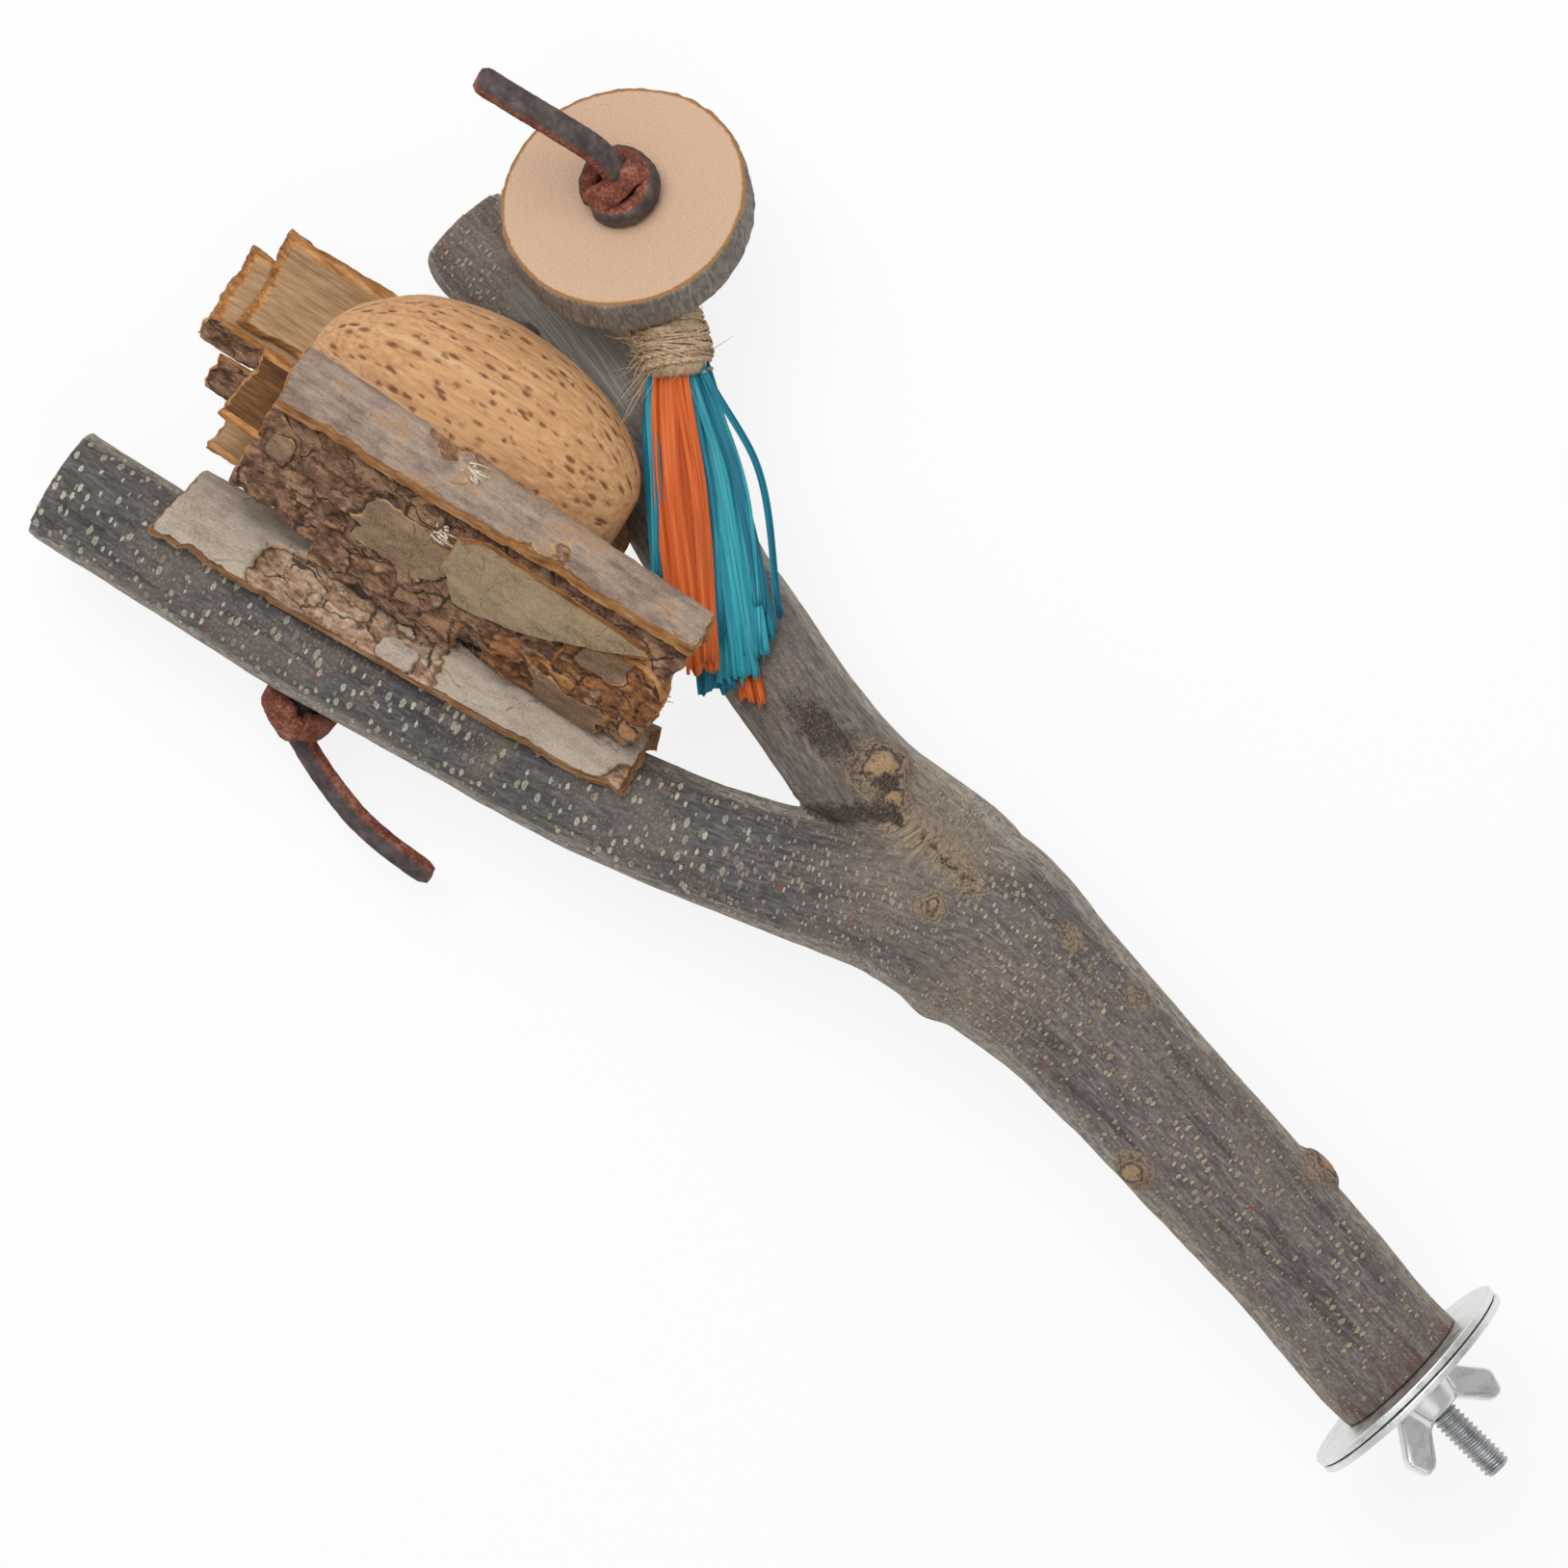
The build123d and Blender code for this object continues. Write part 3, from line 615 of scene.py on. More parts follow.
def disc_section(radius, sides):
    """Round section of a strand, radius in mm."""
    angles = [2 * math.pi * k / sides for k in range(sides)]
    return [(radius * mm * math.cos(a), radius * mm * math.sin(a)) for a in angles]


def noises(points, scale=1.0, octaves=3):
    """Smooth noise from about -1 to 1 at each point."""
    return np.array([noise.fractal(Vector(p), 1.0, 2.0, octaves) for p in np.asarray(points) * scale])


def ease(value, low, high):
    """Soft step from 0 at low to 1 at high."""
    share = np.clip((value - low) / (high - low), 0, 1)
    return share * share * (3 - 2 * share)


def gather(pieces):
    """Joins the meshes of several small objects of one material into the first."""
    joined = bmesh.new()
    for piece in pieces:
        joined.from_mesh(piece.data)
    joined.to_mesh(pieces[0].data)
    joined.free()
    for piece in pieces[1:]:
        bpy.data.objects.remove(piece)
    return pieces[0]


# Camera: the photograph's view, straight down
view_centre = Vector((0.179, 0.0025, 0))
view_half_width, camera_height = 0.1628, 1.25
view_turn = Matrix((image_right, image_up, e_z)).transposed().to_4x4()
camera_data = bpy.data.cameras.new("camera")
camera_data.sensor_width = 36.0
camera_data.lens = camera_data.sensor_width / 2 / (view_half_width / camera_height)
camera = bpy.data.objects.new("camera", camera_data)
camera.matrix_world = Matrix.Translation(view_centre + e_z * camera_height) @ view_turn
scene.collection.objects.link(camera)
scene.camera = camera


# Lace: the free tails, the held run and the knots
def lace(name, places, side, from_end=False, width=lace_width, thick=lace_thick, nap=0.12, grain=1.0):
    """A stretch of flat lace along points, with its grain face marked and its edges roughened."""
    w, h, r = width / 2, thick / 2, 0.24 * thick
    top = [(-w + r, h), (-w / 3, h * 1.04), (w / 3, h * 1.04), (w - r, h)]
    right = [(w, h - r), (w, 0), (w, -h + r)]
    bottom = [(w - r, -h), (0, -h), (-w + r, -h)]
    left = [(-w, -h + r), (-w, 0), (-w, h - r)]

    def cut_end(share):
        """Size of the section, which narrows just before the end."""
        return 1 - 0.3 * ease(share, 0.975, 1.0)

    made = sweep(name, places, side, top + right + bottom + left, leather, from_end, cut_end)
    put(made, "face", ([grain] * 4 + [0.2 * grain] + [0] * 7 + [0.2 * grain]) * len(places))
    for vertex in made.data.vertices:
        vertex.co += noise.noise_vector(vertex.co * 900) * nap * mm
    return made


def build_tails():
    """The two free ends of the lace, each on its own spline."""
    lower = [(-19.6, -3.6, -22.4), (-24.4, -13.5, -23.6), (-28.8, -27, -22), (-29.2, -42, -19.5)]
    upper = [(115.5, 14, 30), (115, 24, 33.5), (114.8, 33, 36)]
    lower = [lower_end] + [toy(*place) for place in lower]
    upper = [upper_end, upper_end + slice_way * 7 * mm] + [toy(*place) for place in upper]
    tilt = math.radians(25)
    for name, node, controls, side in (
        ("lower_tail", "lace_lower_tail", lower, Vector((0, -0.62, 0.78))),
        ("upper_tail", "lace_upper_tail", upper, e_z * math.sin(tilt) - e_t * math.cos(tilt)),
    ):
        places = route_points(controls)
        length = sum((b - a).length for a, b in zip(places, places[1:]))
        tail = lace(name, places, side, from_end=True)
        carry(tail, "branch", "lace_leather", node)
        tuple(places[0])


def build_run():
    """The run through prongs, toys and slice."""
    below_rear = toy(prong_span + 15, 0, rear_drop - 15)
    below_slice = slice_face - slice_way * 23 * mm
    stops = [lower_end, toy(peak_t, 0, peak_z), below_rear, below_slice, upper_end]
    bend = 16 * mm
    controls = [lower_end]
    for before, corner, after in zip(stops, stops[1:], stops[2:]):
        back, ahead = (before - corner).normalized(), (after - corner).normalized()
        controls += [corner + back * bend, corner, corner + ahead * bend]
    controls.append(upper_end)
    run = lace("lace_run_leather", route_points(controls, 8), e_s.copy())
    carry(run, "branch", "lace_leather", "lace_run")
    bunch = [toy(75.5, 0, -13.5), toy(79.4, 0.4, -16.6), toy(84, 0, -22)]
    fold = lace("lace_fold", smooth_points(bunch, 12), e_s.copy(), width=8.2 * mm, thick=7.0 * mm, nap=0.2)
    carry(fold, "branch", "lace_leather")


# Bight of a knot as (angle, radius, height)
knot_bight = [
    (205, 5.6, -2.4), (222, 6.2, 1.4), (258, 3.8, 3.8), (320, 2.2, 4.4), (8, 4.0, 3.6), (24, 6.0, -0.4),
    (28, 5.8, -2.6),
]


def build_knot(name, node, centre, way, right, grain):
    """Overhand knot pulled tight: a turn round the lace, and the bight that crosses over it."""
    a = (right - way * right.dot(way)).normalized()
    b = way.cross(a)

    def at(angle, radius, height):
        angle = math.radians(angle)
        return centre + ((a * math.cos(angle) + b * math.sin(angle)) * radius + way * height) * mm

    turns = [at(200 - 17 * i, 6.3, -0.4 + 1.2 * math.sin(math.radians(17 * i - 40))) for i in range(21)]
    ring = lace(name, smooth_points(turns, 90), -way, width=6.4 * mm, thick=3.6 * mm, nap=0.25, grain=grain)
    crossing = smooth_points([at(*place) for place in knot_bight], 60)
    across = at(305, 1, 0) - centre
    over = lace(name + "_bight", crossing, across, width=5.6 * mm, thick=2.8 * mm, nap=0.3, grain=0.0)
    carry(ring, "branch", "lace_leather", node)
    carry(over, "branch", "lace_leather")


build_tails()
build_run()
build_knot("upper_knot", "lace_upper_knot", upper_knot, slice_way, image_right, 1.0)
build_knot("lower_knot", "lace_lower_knot", lower_knot, -rise_way, image_up, 0.0)

# Branch: stations (x, y, z, radius) along the trunk with its front prong, and along the rear prong
tip_radius = 12.4
trunk_line = [
    (2, 0, 0, 15.6), (26, -1.5, 0, 15.6), (51, -3.2, 0, 16.1), (82, -4.6, 0, 16.3), (104, -5.5, 0, 17.3),
    (126, -4.2, 0, 19.4), (147, 4, -1, 16.3), (168, 16, -2, 13.4), (191, 26.5, -3, 12.6),
    (217, 35.5, -4.2, 12.4), (240, 42, -5.3, 12.4), (266, 49, -6, 12.4), (292, 55, -6.5, 12.4),
    (331, 63.5, -7, 12.4),
]
rear_line = [
    (122, -4, 0, 14), (146, -7, -1, 14.7), (165, -8.6, -3, 12.7), (180, -10.4, -5.5, 12.2),
    (200, -14, -9, 11.9), (229, -20.5, -14.3, 11.5), (258, -28.6, -19, 11.1), (284, -33, -22, 10.8),
    (310, -34.4, -24.2, 10.4),
]

# Knots as (place, reach, height, depth of the groove), scars as (place, reach), and lines of marks
branch_knots = [
    ((167.0, -13.6, 8.5), 8.0, 2.8, 1.0), ((160.4, -10.6, 9.5), 5.0, 1.7, 0.8),
    ((139.6, -0.8, 16), 4.2, 0.9, 0.5),
    ((43.9, -18.2, 2), 6.5, 2.2, 0.3), ((71.8, 9.5, 10), 5.5, 1.3, 0.4),
]
branch_scars = [((115.0, -15.8, 11), 7.0), ((96.2, -17.0, 10), 6.2)]
crest_line = [(170.3, 3.2, 2), (165.5, -2.5, 8), (159.7, -8.0, 11)]
seam_line = [(159.7, -8.0, 11), (153.3, -9.0, 12), (146.4, -9.8, 13.5), (136.2, -9.3, 15.4)]
crease_line, crease_steps = [(137, -8, 17), (134.3, 3.6, 17), (132, 12, 10)], (0, 2.4, 5.0)
stripped_line = [(286, -36, -13), (274, -33, -11), (261, -30, -9)]


def straighten(points, stations):
    """Points by a bent stick laid out straight.

    Gives along, aside and above in mm, arc round it, share of its radius, distance along it,
    and its length."""
    line = smooth_points(stations, 400)
    centre, radius = line[:, :3], line[:, 3]
    way = np.gradient(centre, axis=0)
    way /= np.linalg.norm(way, axis=1)[:, None]
    aside = np.cross(way, (0, 0, 1.0))
    aside /= np.linalg.norm(aside, axis=1)[:, None]
    above = np.cross(aside, way)
    along = np.concatenate([[0], np.cumsum(np.linalg.norm(np.diff(centre, axis=0), axis=1))])
    nearest = np.empty(len(points), int)
    for start in range(0, len(points), 4000):
        gaps = points[start:start + 4000, None, :] - centre[None]
        nearest[start:start + 4000] = np.argmin((gaps**2).sum(2), axis=1)
    offset = points - centre[nearest]
    distance = along[nearest] + (offset * way[nearest]).sum(1)
    across = (offset * aside[nearest]).sum(1)
    up = (offset * above[nearest]).sum(1)
    placed = np.stack([distance + stations[0][0], across, up], axis=1)
    girth = radius[nearest]
    return placed, np.arctan2(across, up) * girth, np.hypot(across, up) / girth, distance, along[-1]


class BranchSkin:
    """Where the branch's points, in mm, lie on its two sticks, and the relief and marks that they get."""

    def __init__(self, points, normals):
        self.points, self.normals = points, normals
        front, front_arc, front_share, front_along, front_length = straighten(points, trunk_line)
        rear, rear_arc, rear_share, rear_along, rear_length = straighten(points, rear_line)
        past_fork = np.clip((points[:, 0] - 128) / 22, 0, 1)
        share = ease(np.clip((front_share - rear_share) / 0.5 + 0.3, 0, 1) * past_fork, 0, 1)
        self.share, self.front_share = share, front_share
        self.bark = front * (1 - share)[:, None] + rear * share[:, None]
        self.arc = front_arc * (1 - share) + rear_arc * share

        # Ends stay flat: no lumps there, and their faces show end grain
        radial = front_share * (1 - share) + rear_share * share
        front_end = np.minimum(front_along, front_length - front_along) + 40 * share
        self.to_end = np.minimum(front_end, rear_length - rear_along + 400 * (1 - share))
        self.cut = np.clip((1.2 - self.to_end) / 0.5, 0, 1) * np.clip((0.95 - radial) / 0.05, 0, 1)
        self.wrinkle = noises(points, 0.55)
        self.rise, self.scar, self.dark = (np.zeros(len(points)) for _ in range(3))
        self.knot = np.full(len(points), 9.0)

    def gap_to(self, centre, reach, stretch=(1, 1, 1)):
        """Distance of the points from a place, as a share of a reach."""
        return np.linalg.norm((self.points - np.array(centre)) / np.array(stretch), axis=1) / reach

    def near(self, centre, reach, stretch=(1, 1, 1)):
        """Soft spot round a place, 1 at its middle and 0 beyond its reach."""
        return ease(1 - self.gap_to(centre, reach, stretch), 0, 1)

    def near_line(self, line, reach, flat=1.0):
        """Soft band round a line of places; flat is the weight of the height."""
        gaps = np.full(len(self.points), 1e9)
        for spot in smooth_points(line, 60):
            gaps = np.minimum(gaps, np.linalg.norm((self.points - spot) * (1, 1, flat), axis=1))
        return ease(1 - gaps / reach, 0, 1)

    def lumps(self):
        """Lumps and ripples along the grain, swellings at the fork, and the front prong's straight end."""
        swell, keep = np.clip(self.to_end / 45, 0, 1), np.clip(self.to_end / 4, 0, 1)
        self.rise += 0.5 * noises(self.bark * (0.45, 1, 1), 0.055) * swell
        self.rise += 0.24 * noises(self.bark * (0.22, 1, 1), 0.34) * keep
        self.rise += 1.6 * self.near((125.5, 15, 2), 9, (0.8, 1, 1.6))
        self.rise += 3.1 * self.near((142.5, -22.5, 0), 26, (1.3, 0.6, 0.9))
        tip = ease(self.points[:, 0], 270, 290) * (1 - self.share) * np.clip(self.to_end - 0.4, 0, 1)
        tip *= np.clip((self.front_share - 0.62) / 0.06, 0, 1)
        self.rise += tip_radius * (1 - self.front_share) * tip

    def knots(self):
        """Knots with a groove round each core, and crazed scars."""
        for centre, reach, height, groove in branch_knots:
            gap = self.gap_to(centre, reach, (1, 1, 1.5)) * (1 + 0.12 * self.wrinkle)
            self.rise += height * ease(1 - gap, 0.05, 0.62) - groove * np.exp(-((gap - 0.4) / 0.1) ** 2)
            self.knot = np.minimum(self.knot, gap)
        for centre, reach in branch_scars:
            patch = self.near(centre, reach, (1.15, 0.85, 1.8))
            self.rise += 0.7 * patch * self.wrinkle
            self.scar += 0.9 * patch

    def ridge(self):
        """The ridge in the fork, the split by its knots, and the seam and creases beyond it."""
        crest, split = self.near_line(crest_line, 4.6), self.near((163.6, -12.2, 10), 3.6)
        seam = self.near_line(seam_line, 2.2, 0.3) * np.clip(0.45 + 1.2 * self.wrinkle, 0, 1)
        crumbs = self.near_line(seam_line, 5.5, 0.3) * np.clip(0.75 - self.wrinkle, 0, 1)
        crease_lines = [[(x - k, y, z) for x, y, z in crease_line] for k in crease_steps]
        crease = sum(self.near_line(shifted, 1.2, 0.3) for shifted in crease_lines)
        self.rise += crest * (0.7 + 1.2 * self.wrinkle) + 0.6 * crumbs
        self.rise -= 0.7 * seam + 0.4 * crease + 1.3 * split
        self.dark += crest * (0.9 + 0.6 * self.wrinkle) + 0.8 * seam + 1.2 * split + 0.35 * crease
        self.scar += 1.2 * crumbs

    def patches(self):
        """The stripped patch of the rear prong, the node of the front one, and dark stains."""
        self.stripped = self.near_line(stripped_line, 11) * np.clip(self.normals[:, 2] + 0.3, 0, 1)
        self.node = self.near((226, 40, 6), 9, (0.55, 1.2, 1.2))
        self.rise += 0.5 * self.node - 0.35 * self.stripped
        self.dark += 0.75 * self.near((181, -11, 6), 15, (1.5, 0.6, 1))
        self.dark += 0.5 * self.near((292, -36, -13), 12, (1, 0.8, 1))

    def store(self, branch):
        """Puts on the mesh the values its bark is drawn from."""
        x, share = self.points[:, 0], self.share
        trunk = np.clip((185 - x) / 90, 0, 1) * (1 - share) + 0.5 * share
        fork = 0.6 * self.near((150, -2, 12), 30, (0.75, 0.9, 2)) + 0.35 * share
        fork += 1.1 * self.near((148, -18, 8), 26, (1, 0.7, 1.6))
        fork += 0.9 * self.near((121, 8, 12), 24, (0.8, 1, 1.6))
        # Share of the surface that faces sideways, which the bark's painted light makes paler
        side = (1 - np.abs(self.normals[:, 2])) * (1 - self.cut)
        bare = share * np.clip((285 - x) / 20, 0, 1) * np.clip((x - 150) / 10, 0, 1)
        bare += self.stripped * 2 + self.scar + self.dark + ease(1.1 - self.knot, 0, 0.2) + self.cut
        bare += ease(-self.normals[:, 2], 0.6, 0.9) + 0.6 * self.near((150, -6, 14), 16)
        put(branch, "bark", self.bark, "FLOAT_VECTOR")
        put(branch, "sheet", np.stack([self.bark[:, 0], self.arc, 0 * self.arc], axis=1), "FLOAT_VECTOR")
        put(branch, "knot", self.knot)
        put_parts(branch, "marks", self.scar, self.dark, self.stripped * 1.3)
        put_parts(branch, "kinds", trunk, self.node, self.cut)
        put_parts(branch, "zones", side, fork, bare)


def even_mesh(name, node, voxel, material):
    """A solid's surface with an even mesh, as a new object, voxel in mm."""
    copy = bpy.data.objects.new("branch_copy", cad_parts[node].data.copy())
    scene.collection.objects.link(copy)
    remesh = copy.modifiers.new("remesh", "REMESH")
    remesh.mode = "VOXEL"
    remesh.voxel_size = voxel * mm
    graph = bpy.context.evaluated_depsgraph_get()
    mesh = bpy.data.meshes.new_from_object(copy.evaluated_get(graph))
    bpy.data.objects.remove(copy)
    mesh.name = name
    mesh.materials.clear()
    mesh.materials.append(material)
    made = bpy.data.objects.new(name, mesh)
    scene.collection.objects.link(made)
    return made


def build_branch():
    """The branch with lumps, knots, ridges and the values its bark is drawn from."""
    branch = even_mesh("branch", "forked_branch", 0.7, bark_material)
    mesh = branch.data
    points, normals = (np.empty(len(mesh.vertices) * 3, np.float32) for _ in range(2))
    mesh.vertices.foreach_get("co", points)
    mesh.vertex_normals.foreach_get("vector", normals)
    points = points.reshape(-1, 3).astype(float) / mm
    normals = normals.reshape(-1, 3).astype(float)
    skin = BranchSkin(points, normals)
    skin.lumps()
    skin.knots()
    skin.ridge()
    skin.patches()
    moved = (points + normals * skin.rise[:, None]) * mm
    mesh.vertices.foreach_set("co", moved.astype(np.float32).ravel())
    mesh.polygons.foreach_set("use_smooth", np.ones(len(mesh.polygons), bool))
    mesh.update()
    skin.store(branch)
    carry(branch, "branch", "branch_bark", "forked_branch")


build_branch()


# Clamp hardware: washers and wing nut keep their solids, and the stud gets its thread
def build_stud():
    """Stud with a rolled coarse thread, a chamfered end and the wood screw's shank."""
    pitch, depth, radius, screw_radius = 1.27, 0.62, 3.175, 2.9
    sides, per_turn = 40, 10
    start, end = -26.5, 2.0
    rows = int((end - start) / pitch * per_turn)
    rings = []
    for i in range(rows + 1):
        x = start + (end - start) * i / rows
        ring = []
        for j in range(sides):
            phase = (x / pitch + j / sides) % 1.0
            groove = min(1.0, max(0.0, 1.35 - 2.7 * abs(phase - 0.5))) * depth
            ring.append(min(radius - 0.75 + (x - start), radius - groove))
        rings.append((x, ring))
    rings += [(x, [r] * sides) for x, r in ((2.1, screw_radius), (33.0, screw_radius), (39.0, 0.15))]
    vertices = []
    for x, ring in rings:
        for j, r in enumerate(ring):
            angle = 2 * math.pi * j / sides
            vertices.append(Vector((x, r * math.cos(angle), r * math.sin(angle))) * mm)
    stud = make_object("stud", vertices, ring_faces(len(rings), sides), stud_zinc)
    carry(stud, "branch", "zinc", "hanger_bolt")


build_stud()
for label in ("inner_washer", "outer_washer", "wing_nut"):
    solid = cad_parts[label]
    solid.data.materials.clear()
    solid.data.materials.append(zinc)
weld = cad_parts["wing_nut"].modifiers.new("weld", "WELD")
weld.merge_threshold = 0.002 * mm
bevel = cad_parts["wing_nut"].modifiers.new("bevel", "BEVEL")
bevel.width = 1.1 * mm
bevel.segments = 4
bevel.limit_method = "ANGLE"
bevel.use_clamp_overlap = False


# Wood slice
def build_slice():
    """Round of branch, a little out of round, with softened edges and a hole for the lace."""
    side = (e_t - slice_way * e_t.dot(slice_way)).normalized()
    other = slice_way.cross(side)
    radius, thick, hole, sides = 26.25, 11.0, 4.0, 180
    profile = [(hole, -thick), (0.5 * radius, -thick), (radius - 1.2, -thick), (radius - 0.3, -thick + 0.4)]
    profile += [(radius, -thick + 1.2 + (thick - 2.0) * i / 14) for i in range(15)]
    profile += [(radius - 0.12, -0.35), (radius - 0.45, -0.06), (radius - 0.9, 0.0)]
    profile += [(radius - 0.9 - (radius - 0.9 - hole) * i / 10, 0.0) for i in range(1, 11)]
    vertices, disc, rim, bark = [], [], [], []
    for r, z in profile:
        on_side = r > radius - 0.5 and z < -0.3
        for j in range(sides):
            angle = 2 * math.pi * j / sides
            x, y = math.cos(angle), math.sin(angle)
            outline = 0.4 * noise.fractal(Vector((x, y, 3.0)) * 1.4, 1.0, 2.0, 3) - 0.3
            rough = 0.3 * noise.fractal(Vector((x * 11, y * 11, z * 0.2)), 1.0, 2.0, 4) if on_side else 0.0
            reach = r + outline * (r / radius) ** 2 + rough
            vertices.append(slice_face + (side * x * reach + other * y * reach + slice_way * z) * mm)
            disc.append((x * reach, y * reach, z))
            rim.append(r / radius)
            bark.append(float(on_side))
    faces = ring_faces(len(profile), sides, wrap=True)
    wheel = make_object("slice_round", vertices, faces, slice_material, 40)
    put(wheel, "disc", disc, "FLOAT_VECTOR")
    put(wheel, "rim", rim)
    put(wheel, "side", bark)
    carry(wheel, "wood_slice", "slice_wood", "wood_slice")


build_slice()


# Nut shell: its outline as (place along it, share of its girth, shift along the lace)
shell_outline = [
    (35.5, 0.02, -0.5), (35.3, 0.13, -0.5), (33.6, 0.30, -0.4), (30, 0.50, -0.2), (20, 0.82, 0),
    (6, 0.99, 0), (-6, 1.0, 0), (-18, 0.92, 0), (-28, 0.74, 0), (-35, 0.50, 0), (-37.9, 0.30, 0),
    (-38.4, 0.15, 0), (-38.5, 0.02, 0),
]
shell_girth_radius, pit_row_gap = 20, 2.5
shell_ridges = [(1.15, 0.05), (1.75, 0.035), (2.35, 0.04), (4.3, 0.08)]


def turned_by(angle, centre):
    """Angles from a centre, from minus half a turn to half a turn."""
    return (angle - centre + math.pi) % (2 * math.pi) - math.pi


def build_shell():
    """Almond-like shell with ridges along it and rows of long pits."""
    rows, sides = ((165, 280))
    outline = smooth_points(shell_outline, rows)
    angles = np.arange(sides) * 2 * math.pi / sides
    s = np.repeat(outline[:, 0], sides)
    share = np.repeat(outline[:, 1], sides)
    angle = np.tile(angles, rows)

    # Pits: rows round the shell, each pit a long soft dent with its own size
    pit = np.zeros(rows * sides)
    place = -34.0
    while place < 32.5:
        share_here = float(np.interp(-place, -outline[:, 0], outline[:, 1]))
        number = max(4, int(2 * math.pi * shell_girth_radius * share_here / pit_row_gap))
        for k in range(number):
            centre = place + random.uniform(-1.4, 1.4)
            turn = 2 * math.pi * (k + random.uniform(-0.45, 0.45)) / number
            long, wide, deep = random.uniform(0.7, 1.9), random.uniform(0.38, 0.7), random.uniform(0.35, 1.0)
            close = np.flatnonzero(np.abs(s - centre) < 2.4 * long)
            turned = np.abs(turned_by(angle[close], turn)) * shell_girth_radius * share[close]
            dent = deep * np.exp(-((s[close] - centre) / long) ** 2 - (turned / wide) ** 2)
            pit[close] = np.maximum(pit[close], dent)
        place += pit_row_gap
    ridge = sum(np.exp(-(turned_by(angle, at) / wide) ** 2) for at, wide in shell_ridges)
    ridge = ridge * np.clip((s + 30) / 40, 0, 1)
    around = np.stack([s * 0.05, np.cos(angle) * 2, np.sin(angle) * 2], axis=1)
    reach = share * (1 + 0.012 * noises(around) + 0.022 * ridge) - 0.022 * pit
    t, z = nut_half_width * reach * np.cos(angle), nut_half_height * reach * np.sin(angle)
    shift = np.repeat(outline[:, 2], sides)
    vertices = [toy(nut_t + a + b, c, nut_z + d) for a, b, c, d in zip(shift, t, s, z)]
    shell = make_object("shell", vertices, ring_faces(rows, sides), shell_material)
    put(shell, "grain", np.stack([s, t, z], axis=1), "FLOAT_VECTOR")
    put(shell, "pit", pit)
    put(shell, "ridge", ridge)
    carry(shell, "nut_shell", "shell", "nut_shell")


build_shell()


# Bark pieces
def ragged(places, seed, size):
    """Uneven length of a torn edge, in mm."""
    count = len(places)
    line = np.stack([places, np.full(count, seed), np.full(count, 0.3)], axis=1)
    return size * (0.8 * noises(line * (0.10, 1, 1), 1.0, 2) + 0.28 * noises(line * (0.42, 1, 3), 1.0, 3))


